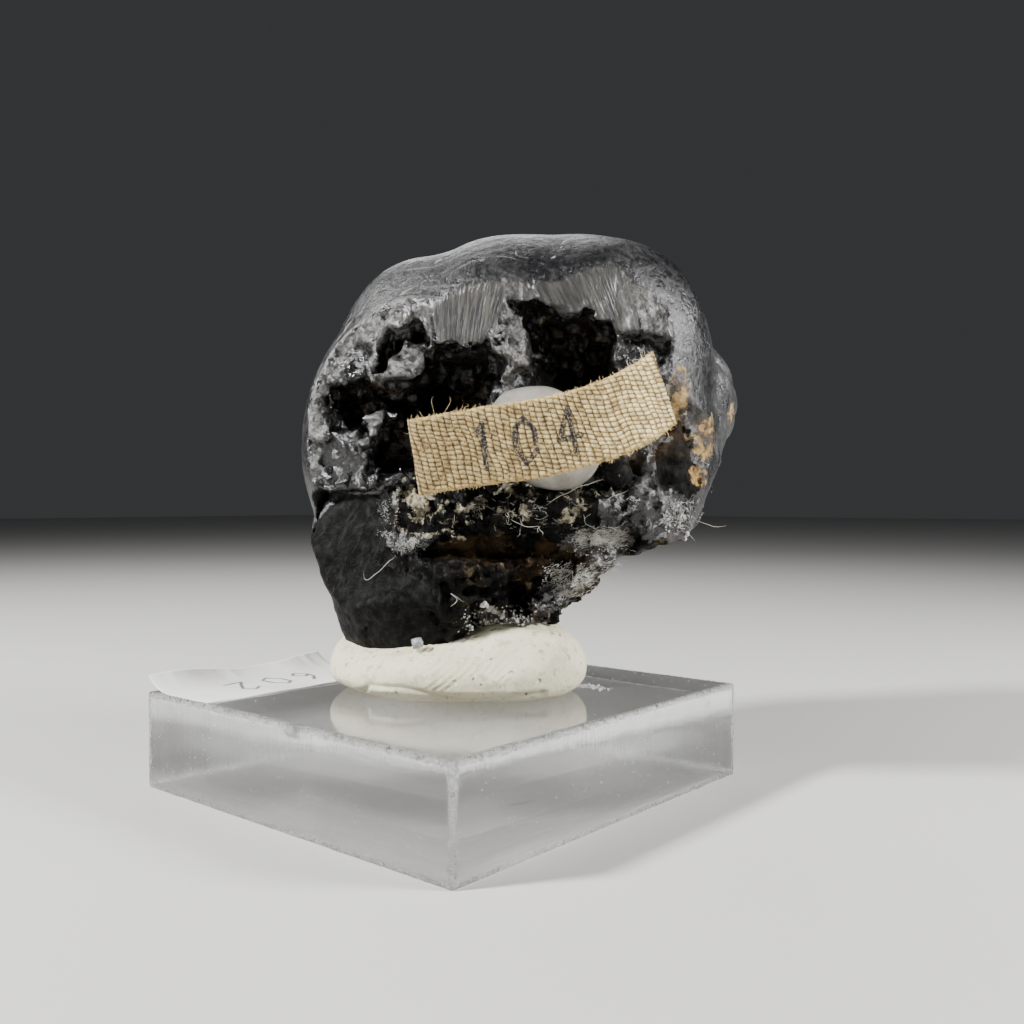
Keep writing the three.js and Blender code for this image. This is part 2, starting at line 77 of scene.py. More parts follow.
# Hollows of the broken side: x, z, half width, half height, turn in degrees, depth and sharpness of
# the rim
HOLLOWS = (
    (1.8, 35.9, 4.4, 3.5, 0, 8.0, 7.0),        # large left hollow
    (-2.2, 34.3, 2.6, 1.8, 0, 4.5, 6.0),       # its left arm
    (11.3, 38.4, 3.8, 4.2, -12, 9.0, 7.0),     # large right hollow
    (12.2, 34.5, 4.5, 3.0, 0, 7.0, 6.0),       # its foot
    (7.4, 41.4, 0.8, 1.2, -12, 4.0, 6.0),      # its upper left corner
    (-6.6, 34.4, 2.9, 1.9, 12, 4.6, 6.0),      # hollow in the crags
    (-4.3, 30.9, 1.9, 2.2, -30, 5.5, 6.0),     # by the strip's end
)
# Pits sunk into the plates
PITS = (
    (-2.5, 39.7, 0.45, 0.5, 0, 2.2, 5.0),
    (-3.9, 39.3, 0.32, 0.5, 20, 1.6, 5.0),
    (-7.1, 31.9, 0.4, 0.5, 0, 1.6, 5.0),
)
FACE_DEPTH = -6.3
CHEEK = ((-2.0, 2.5, 20.8), (11.4, 10.0, 8.8))
CHEEK_SIDE = (-10.7, 16.3, -0.91, -0.415)
FOOT = ((-2.8, 2.0, 16.6), (7.8, 7.6, 6.4))
SOLE = ((-3.0, 1.5, 14.0), (6.6, 6.0, 3.7))
ROOT = ((5.0, 4.0, 20.0), (9.5, 8.0, 8.0))
LEDGE = ((6.5, -0.6, 25.2), (14.0, 6.4, 2.8))
PILLAR = ((6.1, -0.5, 37.4), (2.2, 5.5, 6.2))
NOSE = ((8.5, 0.0, 31.0), (5.2, 5.2, 3.8))
UPPER_RECESS = ((8.0, -7.5, 21.6), (12.5, 4.5, 1.6))
LOWER_RECESS = ((9.5, -6.5, 17.8), (8.0, 4.0, 1.2))
UNDERCUT = ((14.5, 0.0, 9.0), (8.2, 18.0, 8.0))
NODULE_BOX = ((-16.0, -11.0, 8.0), (31.0, 22.0, 53.0))

# Rounded lumps: four at the lower right, the rest on the ledge
LUMPS = (
    ((20.2, -2.5, 30.3), (1.4, 1.7, 1.6)),
    ((20.3, -2.2, 28.0), (1.5, 1.7, 1.0)),
    ((21.5, -1.2, 27.2), (1.4, 1.6, 1.0)),
    ((15.0, -4.3, 28.1), (1.5, 1.8, 1.2)),
    ((12.3, -3.7, 27.5), (1.3, 1.4, 0.8)),
    ((16.6, -3.7, 26.3), (1.5, 1.3, 1.0)),
    ((13.8, -5.2, 25.5), (1.7, 1.3, 0.8)),
    ((18.4, -2.8, 24.9), (1.2, 1.3, 0.9)),
)

# Rock that shines less than the rest, as the worn cheek does: up to the recess, and between these two
# places in x up to the ledge's top
RECESS_TOP = 22.4
LEDGE_TOP = 27.4
DULL_LEFT, DULL_RIGHT = -4.0, 13.5
ORE_IOR = 1.65
WORN_IOR = 1.14

# Crack between the cheek and the skin, as x and z
CRACK_LINE = ((-10.6, 26.8), (-11.2, 25.8), (-11.7, 24.4), (-12.05, 22.6))
# Edges of the growth layers, as places behind the broken side
BANDS = (0.9, 1.7, 2.9, 4.3, 6.2)
# Fine cracks in the skin's front, as x and z
SEAM_LINES = (
    ((-4.4, 44.3), (-2.85, 45.65), (-0.5, 47.0), (2.1, 48.4), (3.9, 48.9)),
    ((-3.6, 47.0), (-1.8, 48.2), (0.7, 48.9)),
    ((-4.3, 43.1), (-1.8, 44.9), (-1.2, 44.7)),
    ((1.4, 46.0), (2.3, 46.4), (3.5, 46.6)),
    ((6.2, 47.5), (6.6, 46.8), (7.6, 46.8)),
    ((9.3, 46.6), (10.2, 47.6), (10.4, 48.6), (11.6, 49.4)),
    ((-5.8, 44.5), (-7.5, 42.6), (-9.1, 41.1), (-10.2, 39.6), (-11.2, 37.9), (-12.0, 35.6)),
    ((-2.65, 44.3), (-4.7, 43.1), (-6.0, 41.7), (-7.2, 41.0), (-8.2, 40.8)),
    ((18.2, 43.4), (18.9, 41.5), (19.6, 40.9), (19.9, 38.8)),
    ((21.0, 36.8), (22.4, 37.6), (22.9, 38.9)),
)
# Tan earthy patches and pale sugary ones: how strong, middle and half sizes
RUST_SPOTS = (
    (0.60, (20.4, -4.5, 34.9), (2.1, 5.0, 4.4)),
    (0.62, (23.4, -1.0, 31.4), (2.5, 5.0, 3.2)),
    (0.60, (22.4, -1.0, 27.9), (2.0, 4.0, 1.9)),
    (0.45, (18.4, -3.0, 30.0), (1.6, 4.0, 2.2)),
    (0.55, (27.4, 5.0, 33.8), (1.4, 3.0, 2.6)),
)
PALE_SPOTS = (
    (0.44, (21.0, -2.0, 24.6), (2.0, 4.0, 1.8)),
    (0.36, (4.6, -5.0, 14.6), (4.2, 4.0, 1.7)),
    (0.50, (-3.2, -6.5, 22.0), (2.6, 3.0, 0.8)),
    (0.44, (-5.2, -6.5, 24.8), (0.9, 3.0, 1.1)),
    (0.56, (13.4, -2.0, 22.2), (3.6, 5.0, 1.4)),
)
# Light band between the lumps at the lower right, as x and z
LIGHT_LINE = ((15.8, 29.6), (19.6, 25.2))
# Pale band that rises to the right over the stepped layers, as x and z
PALE_LINE = ((8.6, 16.6), (11.6, 18.6), (14.8, 21.0))
# Cream edge of the crust, as x and z
CREAM_LINE = ((-4.1, 25.6), (-4.2, 23.6), (-3.2, 23.0), (-1.2, 22.7), (0.4, 23.2), (1.8, 22.4))

# Flat plates of the broken side: corners as x and z, then the middle as x, z and y, the slopes of y
# along x and along z, how light the plate is and how smooth
PLATES = (
    # Bright rugged pillar between the hollows
    (((5.9, 36.2), (7.55, 36.2), (7.8, 38.9), (7.6, 40.2), (6.7, 41.1), (6.5, 42.6), (5.2, 43.0),
      (3.9, 40.6), (3.3, 39.1), (4.4, 38.5), (4.8, 37.6)), (6.0, 39.4, -7.1), (0.12, 0.1), 1.0, 0.0),
    # Silky plate over the left hollow, the narrow one beside it and the bridge to the next
    (((-1.25, 51.0), (-1.1, 43.3), (-0.3, 39.1), (1.5, 38.95), (3.5, 39.15), (4.2, 40.2), (5.5, 42.0),
      (5.8, 44.0), (5.8, 51.0)), (2.0, 41.5, -7.1), (-0.03, 0.03), 0.8, 1.0),
    (((-3.0, 51.0), (-2.8, 43.0), (-2.2, 41.3), (-0.95, 39.3), (-0.3, 39.05), (-1.1, 43.3), (-1.25, 51.0)),
     (-0.9, 41.3, -6.75), (-0.75, -0.1), 0.9, 1.0),
    (((5.6, 51.0), (5.5, 43.9), (5.7, 43.0), (7.2, 42.8), (8.5, 43.0), (8.9, 51.0)), (7.0, 43.5, -6.85),
     (0.05, 0.05), 0.6, 0.75),
    # Plates over the right hollow
    (((8.2, 51.0), (7.9, 43.6), (8.5, 42.8), (10.2, 41.7), (12.3, 41.8), (12.9, 51.0)),
     (10.6, 43.6, -6.5), (0.02, 0.10), 0.55, 1.0),
    (((12.2, 51.0), (12.1, 41.9), (13.2, 41.2), (14.7, 39.2), (15.3, 39.3), (15.1, 43.0), (14.6, 51.0)),
     (13.6, 42.6, -6.4), (0.10, 0.08), 0.7, 1.0),
    (((14.6, 51.0), (15.2, 43.0), (15.4, 39.8), (17.2, 39.9), (16.6, 43.5), (16.2, 51.0)),
     (15.9, 42.0, -6.45), (-0.16, 0.10), 0.85, 0.8),
    (((16.2, 51.0), (16.6, 43.5), (17.2, 39.9), (18.8, 39.6), (23.0, 39.9), (23.0, 51.0)),
     (18.0, 41.6, -6.1), (0.22, 0.06), 0.8, 0.7),
    # Dull facet under them
    (((15.1, 39.9), (14.7, 38.0), (15.0, 35.5), (19.2, 35.0), (19.0, 39.8)), (16.8, 38.6, -5.7),
     (0.25, 0.35), 0.04, 0.35),
    # Crags on the left: rough light rock, a bright flake on it and two flakes below
    (((-6.4, 36.4), (-5.2, 35.6), (-3.5, 35.7), (-2.1, 36.4), (-1.1, 37.9), (-0.8, 39.1), (-2.6, 42.8),
      (-4.4, 42.0), (-5.3, 40.3), (-6.7, 37.2)), (-3.8, 38.5, -5.9), (-0.2, 0.06), 0.6, 0.25),
    # Dark three-cornered cavity and black slit in that rock
    (((-4.9, 40.1), (-4.5, 38.8), (-1.2, 39.3), (-2.2, 41.3)), (-3.2, 39.9, -4.7), (0.0, 0.6), 0.22, 0.6),
    (((-5.4, 38.65), (-5.7, 36.9), (-4.85, 37.0), (-4.6, 38.65), (-4.85, 39.9)), (-5.1, 38.3, -3.2),
     (0.3, 0.0), 0.0, 0.9),
    (((-4.1, 40.4), (-3.3, 40.7), (-2.5, 41.3), (-2.8, 42.5), (-4.0, 41.6), (-4.4, 40.7)),
     (-3.5, 41.3, -6.2), (-0.3, 0.4), 1.0, 0.9),
    (((-6.8, 32.6), (-5.5, 32.4), (-4.65, 32.9), (-4.5, 33.9), (-5.1, 34.1), (-6.6, 33.2), (-7.45, 32.9)),
     (-5.9, 33.1, -5.1), (-0.3, 0.5), 1.0, 0.9),
    (((-7.45, 30.9), (-7.3, 30.6), (-6.5, 30.3), (-5.8, 31.3), (-5.6, 32.4), (-6.6, 32.3)),
     (-6.4, 31.4, -5.2), (-0.2, 0.3), 1.0, 0.9),
    # Grey facet at the foot of the right hollow
    (((7.6, 38.2), (7.6, 34.2), (11.8, 34.2), (9.6, 37.0)), (8.8, 36.0, -2.4), (0.3, 0.5), 0.35, 0.9),
)

# Growth centres that the fibres fan out from: x, z and the usual way from there to the plates
FAN_CENTRES = ((0.5, 26.0, 16.0), (22.0, 20.0, 24.0), (-1.0, 33.0, 6.0))

# Putty: lumps that run together
PUTTY_LUMPS = (
    ((1.0, -0.8, 10.4), (11.2, 8.3, 2.5)),     # spread foot
    ((6.6, -1.4, 11.4), (5.8, 6.0, 3.9)),      # high right lump
    ((-7.0, 2.0, 11.2), (3.6, 5.6, 2.7)),      # left rim
    ((1.5, -4.2, 10.8), (8.6, 4.6, 2.2)),      # front roll
    ((2.0, 4.6, 11.0), (8.2, 3.6, 2.8)),       # rear roll
)
PUTTY_MIDDLE = (1.2, -0.8, 9.6)
PUTTY_UNDERSIDE = BLOCK_TOP + 0.02
# Ridges that fingers left, from one to the next and how high
RIDGE_PITCH = 0.62
RIDGE_HEIGHT = 0.07
# Fold along the putty's front, as x and z, with the height of its flap and the depth of its groove
FOLD_LINE = ((-7.1, 9.1), (-6.2, 10.05), (-3.5, 10.15), (-1.2, 9.8), (1.0, 9.3), (4.0, 9.1), (8.5, 9.5))
FLAP_HEIGHT = 0.14
GROOVE_DEPTH = 0.26

# Cloth strip
STRIP_LINE = (
    (-2.3, -8.3, 29.3), (3.3, -8.8, 30.2), (8.3, -9.4, 30.9),
    (13.1, -10.4, 32.1), (16.1, -12.3, 33.4), (17.8, -14.3, 34.5),
)
STRIP_WIDTH = 6.4
STRIP_THICKNESS = 0.42
RIB_PITCH = 0.58
PICK_PITCH = 0.40
# Written figures: middles along the strip, the figures, their height and half the pen's width
STRIP_FIGURES = ((6.0, 9.6, 13.2), "104", 3.7, 0.18)

# Glue behind the strip
GLUE = ((8.8, -6.2, 31.1), (4.8, 3.6, 4.5))
GLUE_MIDDLE = (8.8, -7.0, 31.1)

# Paper sticker
STICKER_LENGTH = 19.4
STICKER_WIDTH = 10.0
STICKER_MIDDLE_Y = -9.2
STICKER_INNER_X = -9.6
STICKER_THICKNESS = 0.11
STICKER_FIGURES = ((5.6, 9.1, 12.7), "602", 4.0, 0.10)

CORNERS = np.array([(i, j, k) for i in (0, 1) for j in (0, 1) for k in (0, 1)])
# Times that a distance along a ray is halved
HALVINGS = 16
# Metres between points that are one, between points on one edge of the block, and in an edge too short
SAME_PLACE = 1e-7
SAME_EDGE = 2e-6
NO_LENGTH = 1e-9


# Settings

def colour(name, words, value):
    return FloatVectorProperty(name=name, description=words, subtype="COLOR", size=3,
                               min=0.0, max=1.0, default=value)


class SpecimenSizes(PropertyGroup):
    """Sizes that a user would change"""
    face_turn: FloatProperty(name="Face turn", default=math.radians(40.6), subtype="ANGLE",
                             unit="ROTATION", description="How far round from -Y the broken side looks")
    nodule_step: FloatProperty(name="Nodule grain", default=0.307 * MM, subtype="DISTANCE", precision=5,
                               unit="LENGTH", description="Grid step of the nodule's surface")
    crag_height: FloatProperty(name="Crag height", default=1.0 * MM, subtype="DISTANCE", precision=5,
                               unit="LENGTH", description="How far crags stand on the broken side")
    weave_height: FloatProperty(name="Weave height", default=0.20 * MM, subtype="DISTANCE", precision=5,
                                unit="LENGTH", description="How far threads stand on the cloth")
    fray_count: IntProperty(name="Fray", default=1100, min=0,
                            description="Loose fibres along the cloth strip's edges")
    camera_lens: FloatProperty(name="Lens", default=35.77, unit="CAMERA",
                               description="Focal length on a 36 mm wide sensor")


class SpecimenColours(PropertyGroup):
    """Colours that a user would change"""
    ore: colour("Ore", "Black skin of the nodule", (0.006, 0.006, 0.007))
    fibre: colour("Fibre", "Silky grey of broken fibres", (0.150, 0.145, 0.130))
    crust: colour("Crust", "Cream crust on the ledge", (0.44, 0.40, 0.29))
    rust: colour("Rust", "Tan earthy patches", (0.42, 0.275, 0.11))
    putty: colour("Putty", "Cream putty", (0.97, 0.93, 0.67))
    cloth: colour("Cloth", "Tan cloth", (0.60, 0.44, 0.15))
    ink: colour("Ink", "Ink of the numbers", (0.02, 0.02, 0.024))
    paper: colour("Paper", "White paper", (0.80, 0.79, 0.77))
    floor: colour("Floor", "Pale studio floor", (0.62, 0.61, 0.59))


# Numbers without pattern, the same on each run

def mixed_bits(cell, seed):
    """Whole number without pattern for each whole-number place: the three places times large odd
    numbers, added up and mixed by shifts."""
    c = cell.astype(np.int64).astype(np.uint32)
    n = c[..., 0] * np.uint32(374761393) + c[..., 1] * np.uint32(668265263)
    n = n + c[..., 2] * np.uint32(2246822519) + np.uint32(seed * 40503 + 977)
    n = (n ^ (n >> np.uint32(13))) * np.uint32(1274126177)
    n = (n ^ (n >> np.uint32(15))) * np.uint32(2654435761)
    return n ^ (n >> np.uint32(16))


def hashed(cell, seed):
    """Number from 0 to 1 for each place."""
    return mixed_bits(cell, seed) / 4294967295.0


def hashed_three(cell, seed):
    """Three numbers from 0 to 1 for each place: ten bits of the mixed number for each."""
    bits = mixed_bits(cell, seed)
    return np.stack([bits & 1023, (bits >> 10) & 1023, (bits >> 20) & 1023], -1) / 1023.0


def noise(p, size, seed):
    """Smooth noise from -1 to 1: the numbers at the eight places round each point, weighed by how
    near each is."""
    q = p / size
    cell = np.floor(q)
    part = q - cell
    part = part * part * (3 - 2 * part)
    total = np.zeros(p.shape[:-1])
    for corner in CORNERS:
        weight = np.where(corner, part, 1 - part).prod(-1)
        total += weight * hashed(cell + corner, seed)
    return total * 2 - 1


def facets(p, size, seed):
    """Broken facets from -1 to 1: space is parted round scattered points, and each part has a flat,
    tilted relief of its own."""
    q = p / size
    base = np.floor(q - 0.5)
    best = np.full(p.shape[:-1], 9.0)
    relief = np.zeros(p.shape[:-1])
    for corner in CORNERS:
        cell = base + corner
        place = hashed_three(cell, seed)
        away = q - (cell + 0.1 + 0.8 * place)
        reach = (away * away).sum(-1)
        tilt = hashed_three(cell, seed + 3) * 2 - 1
        flat = (hashed(cell, seed + 6) * 2 - 1) * 0.6 + (tilt * away).sum(-1) * 1.1
        relief = np.where(reach < best, flat, relief)
        best = np.minimum(best, reach)
    return np.clip(relief, -1, 1)


def pebbles(p, size, seed):
    """Packed rounded grains from 0 to 1: one less the squared distance to the nearest scattered point."""
    q = p / size
    base = np.floor(q - 0.5)
    best = np.full(p.shape[:-1], 9.0)
    for corner in CORNERS:
        cell = base + corner
        place = hashed_three(cell, seed)
        away = q - (cell + 0.1 + 0.8 * place)
        best = np.minimum(best, (away * away).sum(-1))
    return np.clip(1 - best * 2.2, 0, 1)


def ramp(t):
    """Smooth rise from 0 to 1: t squared times three less twice t."""
    t = np.clip(t, 0, 1)
    return t * t * (3 - 2 * t)


def window(value, low, high, soft):
    """One between two limits and nothing outside them, with soft ends."""
    return ramp((value - low) / soft) * ramp((high - value) / soft)


# Fields of the nodule, less than nothing inside

def ellipsoid(p, solid):
    """Near distance to an ellipsoid: k times (k - 1) over the length of q over the half sizes, where
    q is the place in half sizes from the middle and k is its length."""
    middle, half = (np.asarray(value) for value in solid)
    q = (p - middle) / half
    k = np.sqrt((q * q).sum(-1))
    return k * (k - 1) / np.maximum(np.sqrt(((q / half) ** 2).sum(-1)), 1e-6)


def join(a, b, fillet):
    """Lesser of two fields, with a fillet of about the given size."""
    share = np.clip(0.5 + 0.5 * (b - a) / fillet, 0, 1)
    return b + (a - b) * share - fillet * share * (1 - share)


def overlap(a, b, fillet):
    """Greater of two fields, with the edge rounded."""
    return -join(-a, -b, fillet)


def swell(p, size, seed):
    """Even swells from about -1 to 1: three sines, each bent by another, and their product."""
    x, y, z = (p * (2 * math.pi / size)).T
    a = np.sin(x + 1.7 * np.sin(0.61 * z + seed) + seed)
    b = np.sin(y * 1.13 + 1.9 * np.sin(0.53 * x + 2 * seed) + 2.1)
    c = np.sin(z * 0.97 + 1.5 * np.sin(0.57 * y + 3 * seed) + 4.2)
    return (a + b + c + a * b * c) / 3.2


def hollow_depth(x, z, hollow):
    """Depth of one hollow: full where the cube root of the summed cubes of the turned places in half
    sizes is under one, none outside."""
    middle_x, middle_z, wide, high, turn, depth, edge = hollow
    turn = math.radians(turn)
    dx, dz = x - middle_x, z - middle_z
    across = np.abs(dx * math.cos(turn) + dz * math.sin(turn)) / wide
    up = np.abs(dz * math.cos(turn) - dx * math.sin(turn)) / high
    return depth * ramp((1 - np.cbrt(across ** 3 + up ** 3)) * edge / 4 + 0.5)


def plain_face(x):
    """Depth of the broken side without its hollows: flat in the middle, sloping back at both ends."""
    left = 0.42 * np.maximum(-1.5 - x, 0) - 0.35 * np.maximum(-9.5 - x, 0)
    return FACE_DEPTH + left + 0.05 * np.maximum(x - 14.5, 0)


def line_distance(x, z, knots):
    """Distance in x and z to a broken line: the least of the distances to its parts."""
    best = np.full(x.shape, 99.0)
    for (ax, az), (bx, bz) in zip(knots[:-1], knots[1:]):
        share = ((x - ax) * (bx - ax) + (z - az) * (bz - az)) / ((bx - ax) ** 2 + (bz - az) ** 2)
        share = np.clip(share, 0, 1)
        best = np.minimum(best, np.hypot(x - ax - share * (bx - ax), z - az - share * (bz - az)))
    return best


def hollows(x, z, which):
    """Summed depth of some hollows at places on the broken side."""
    wavy_x = x + 0.3 * np.sin(1.1 * z + 0.6 * x)
    wavy_z = z + 0.3 * np.sin(1.2 * x + 0.5 * z)
    return sum(hollow_depth(wavy_x, wavy_z, hollow) for hollow in which)


def plates(x, z, depth):
    """Lays the flat plates over a depth: the new depth, how far each place lies on a plate, how smooth
    it is and how light. The share is one on a plate and falls to nothing just outside it."""
    share, calm, light = (np.zeros(x.shape) for _ in range(3))
    for corners, (middle_x, middle_z, middle_y), (slope_x, slope_z), lightness, smooth in PLATES:
        outside = np.full(x.shape, -9.0)
        for (ax, az), (bx, bz) in zip(corners, corners[1:] + corners[:1]):
            length = math.hypot(bx - ax, bz - az)
            outside = np.maximum(outside, ((bz - az) * (x - ax) - (bx - ax) * (z - az)) / length)
        on = ramp(1 - outside / 0.3)
        flat = middle_y + slope_x * (x - middle_x) + slope_z * (z - middle_z)
        depth = depth + (flat - depth) * on
        light += (lightness - light) * on
        calm += (smooth - calm) * on
        share = np.maximum(share, on)
    return depth, share, calm, light


def outer_skin(p):
    """Unbroken skin: lobes run together with creases, evenly wobbled."""
    q = p + 0.3 * np.stack([swell(p, 11 + k, k + 1) for k in range(3)], -1)
    skin = ellipsoid(q, LOBES[0])
    for lobe in LOBES[1:]:
        skin = join(skin, ellipsoid(q, lobe), LOBE_BLEND)
    return skin


def band_place(p):
    """How far behind the broken side a point of the skin lies, unevenly: growth bands follow it."""
    return p[..., 1] - plain_face(p[..., 0]) + 0.5 * noise(p, 5.0, 31) + 0.16 * noise(p, 1.6, 32)


def growth_bands(p):
    """Low terraces of flaked growth layers on the left of the skin, as a step down at each band."""
    place = band_place(p)
    steps = sum(ramp((place - at) / 0.22) for at in BANDS)
    left = ramp((9 - p[..., 0]) / 5) * ramp((p[..., 2] - 27) / 4)
    rear = ramp((p[..., 0] - 19.6) / 1.2) * window(p[..., 2], 29, 41, 2) * ramp((p[..., 1] - 0.5) / 2)
    curved = (p[..., 0] + p[..., 2] + 0.06 * (p[..., 2] - 36) ** 2) / 2.5
    ridge = np.abs(curved - np.floor(curved) - 0.5) * 2
    return left * (0.07 * steps - 0.10) + rear * 0.34 * (ridge ** 4 - 0.2)


def layer_relief(p):
    """Stepped layers under the recess: a saw tooth of height along z, bent by noise."""
    q = (p[..., 2] - 0.16 * p[..., 0] + 0.7 * noise(p * (0.35, 1, 1), 2.6, 41)) / 1.25
    return (q - np.floor(q)) - 0.5


def broken_face(p):
    """Place in y of the broken side, the depth of its hollows and how smooth it is. Facets bend the
    edges of its hollows and plates."""
    x, _, z = p.T
    sunk = 2.6 * ramp((38 - z) / 5) * ramp((19 - x) / 4) * ramp((x + 6) / 6)
    crag_x, crag_z = facets(p * (1, 0.4, 1), 1.3, 26), facets(p * (1, 0.4, 1), 1.3, 33)
    wavy_x = x + 0.16 * noise(p, 0.9, 21) + 0.3 * crag_x
    wavy_z = z + 0.16 * noise(p, 0.9, 22) + 0.3 * crag_z
    sunk = sunk + hollows(x + 0.5 * crag_x, z + 0.5 * crag_z, HOLLOWS)
    face = plain_face(x) + sunk + 0.5 * np.maximum(x - 14.5, 0) * ramp((36 - z) / 4)
    face = face + 1.8 * ramp((-4.8 - x) / 1.2) * ramp((26.9 - z) / 0.7)
    face, plate, smooth, _ = plates(wavy_x, wavy_z, face)
    pits = hollows(x + 0.2 * crag_x, z + 0.2 * crag_z, PITS)
    return face + pits, sunk * (1 - plate), smooth * (1 - ramp(pits))


def worn_cheek(p):
    """Field of the worn cheek with its foot and sole, and how far the plane that cuts its front lies
    outside the uncut form. The plane leans, with a step across it."""
    x, y, z = p.T
    side_x, side_z, out_x, out_z = CHEEK_SIDE
    side = (x - side_x) * out_x + (z - side_z) * out_z
    lobes = overlap(ellipsoid(p, CHEEK), side, 2.4)
    lobes = join(join(lobes, ellipsoid(p, FOOT), 0.5), ellipsoid(p, SOLE), 0.8)
    lean = -2.0 - 0.4 * (np.minimum(x, 2) + 12) + 0.25 * np.maximum(x - 2, 0) + 0.12 * (z - 19)
    step = 18.6 - z + 0.2 * x - 0.05 * (x + 6) ** 2 + 0.5 * noise(p, 2.6, 24)
    lean = lean - 0.9 * ramp(step / 0.4) * ramp((-1.5 - x) / 2) + 0.22 * noise(p, 2.8, 25)
    front = (lean - y) * 0.8
    return overlap(lobes, front, 0.8), front - lobes


def nodule_field(p):
    """Field of the whole nodule with its relief, how far each point belongs to a broken surface and how
    far to the worn cheek.
    Forms are joined or hollowed out one after another, and the broken ones are roughened last."""
    x, y, z = p.T
    plain = outer_skin(p)
    skin = plain + growth_bands(p) + 0.03 * noise(p, 2.2, 11) + 0.02 * noise(p, 0.9, 12)
    face, sunk, smooth = broken_face(p)
    cut = (face - y) * 0.6
    solid = overlap(skin, cut, 0.3)
    broken = ramp((cut - skin + 0.12) / 0.24)

    cheek, cheek_front = worn_cheek(p)
    zone = cheek_zone(p)
    bare = np.maximum(ramp((x + 3) / 2), zone * np.maximum(ramp((x + 10.5) / 1.5), ramp((23.5 - z) / 1.5)))
    broken = np.where(cheek < solid, np.maximum(ramp((cheek_front + 0.2) / 0.4), bare), broken)
    solid = join(solid, cheek, 0.5)

    forms = (
        (ellipsoid(p, ROOT), 1.0),
        (ellipsoid(p, LEDGE) + 0.35 * swell(p, 4.0, 0.5), 0.8),
        (ellipsoid(p, PILLAR) + 0.3 * swell(p, 3.6, 0.9), 0.5),
        (ellipsoid(p, NOSE) + 0.3 * swell(p, 5.0, 0.9), 0.8),
    )
    for form, fillet in forms:
        broken = np.where(form < solid, 1.0, broken)
        solid = join(solid, form, fillet)
    for lump in LUMPS:
        lump = ellipsoid(p, lump)
        smooth = np.maximum(smooth, 0.8 * ramp((solid - lump) / 0.3))
        solid = join(solid, lump, 0.25)
    crack = line_distance(x, z, CRACK_LINE) - 0.38 + 0.06 * (26.9 - z) + 0.1 * noise(p, 0.9, 23)
    crack = overlap(crack, y - 1.2, 0.2)
    cuts = (
        (10.8 + 0.4 * np.sin(y * 0.7) - np.hypot(x - 20.9, z - 11.6), 0.6),
        (-ellipsoid(p, UNDERCUT), 0.8),
        (-ellipsoid(p, UPPER_RECESS) - 0.3 * swell(p, 5.0, 1.7), 0.4),
        (-ellipsoid(p, LOWER_RECESS) - 0.3 * swell(p, 5.0, 2.7), 0.4),
        (-crack, 0.2),
        ((x - 23.3) * 0.857 + (24.4 - z) * 0.514, 0.8),
    )
    for cut_away, fillet in cuts:
        broken = np.where(cut_away > solid, 1.0, broken)
        solid = overlap(solid, cut_away, fillet)

    crag = bpy.context.scene.specimen_sizes.crag_height / MM
    solid = solid - broken * crag * rock_relief(p, plain, sunk, smooth, zone)
    return solid, broken, zone


def rock_relief(p, plain, sunk, smooth, zone):
    """How far the broken rock stands out: large, small and tiny facets, weighed by where each point
    lies, with stepped layers low down and grains on the ledge. Plates and the cheek stay calm."""
    x, _, z = p.T
    crags = window(x, -15, -0.3, 1.4) * ramp((z - 26.5) / 1.5)
    ledge = window(z, 22.8, 28.3, 0.7) * ramp((x + 5.6) / 1.2)
    layers = ramp((21.5 - z) / 0.8) * ramp((x + 0.5) / 2)
    deep = ramp((sunk - 1.5) / 3)
    pillar = spot(p, (6.0, -5.0, 38.6), (2.4, 3.4, 4.8))
    low = ramp((19.5 - z) / 2) * ramp((x + 3) / 3)
    big = 0.30 + 0.40 * crags + 0.55 * deep + 0.1 * layers + 0.45 * low
    small = 0.20 + 0.14 * crags + 0.15 * low + 0.16 * ledge + 0.24 * deep + 0.28 * pillar
    tiny = 0.03 + 0.03 * ledge
    calm = 1 - 0.95 * smooth
    calm = calm * (1 - 0.55 * crags * ramp((plain + 1.7) / 0.8))
    lumps = ramp((x - 15) / 2) * ramp((35 - z) / 2)
    relief = big * facets(p, 2.8, 51) + small * facets(p * (1, 1, 0.6), 1.0, 61) + tiny * noise(p, 0.6, 71)
    relief = relief + layers * 0.45 * layer_relief(p) + 0.30 * ledge * pebbles(p * (0.7, 1, 1), 0.8, 81)
    relief = relief * (1 - 0.2 * lumps)
    worn = 0.18 * facets(p, 3.4, 85) + 0.05 * facets(p, 1.3, 86) + 0.04 * noise(p, 0.4, 88)
    return relief * calm * (1 - zone) + worn * zone


def cheek_zone(p):
    """How far each point belongs to the worn cheek: left of an uneven edge that lies further right
    lower down, under the seam and on the front half."""
    x, y, z = p.T
    front = ramp((5.0 + 1.6 * noise(p, 2.6, 90) + 0.5 * facets(p, 1.3, 93) - y) / 0.6)
    edge = -5.1 + 4.4 * ramp((20.5 - z) / 3) + 1.6 * noise(p, 2.4, 87) + 0.6 * facets(p, 1.6, 84)
    under_seam = ramp((26.6 + 0.4 * noise(p, 2.0, 89) - z) / 0.5)
    return ramp((edge - x) / 0.9 + 0.5) * under_seam * ramp(z - 9) * front


# Meshes from fields and grids

def to_row(p):
    """Points of the specimen's own axes in the row's axes: turned about Z, millimetres kept."""
    turn = bpy.context.scene.specimen_sizes.face_turn
    c, s = math.cos(turn), math.sin(turn)
    return np.stack([p[..., 0] * c - p[..., 1] * s, p[..., 0] * s + p[..., 1] * c, p[..., 2]], -1)


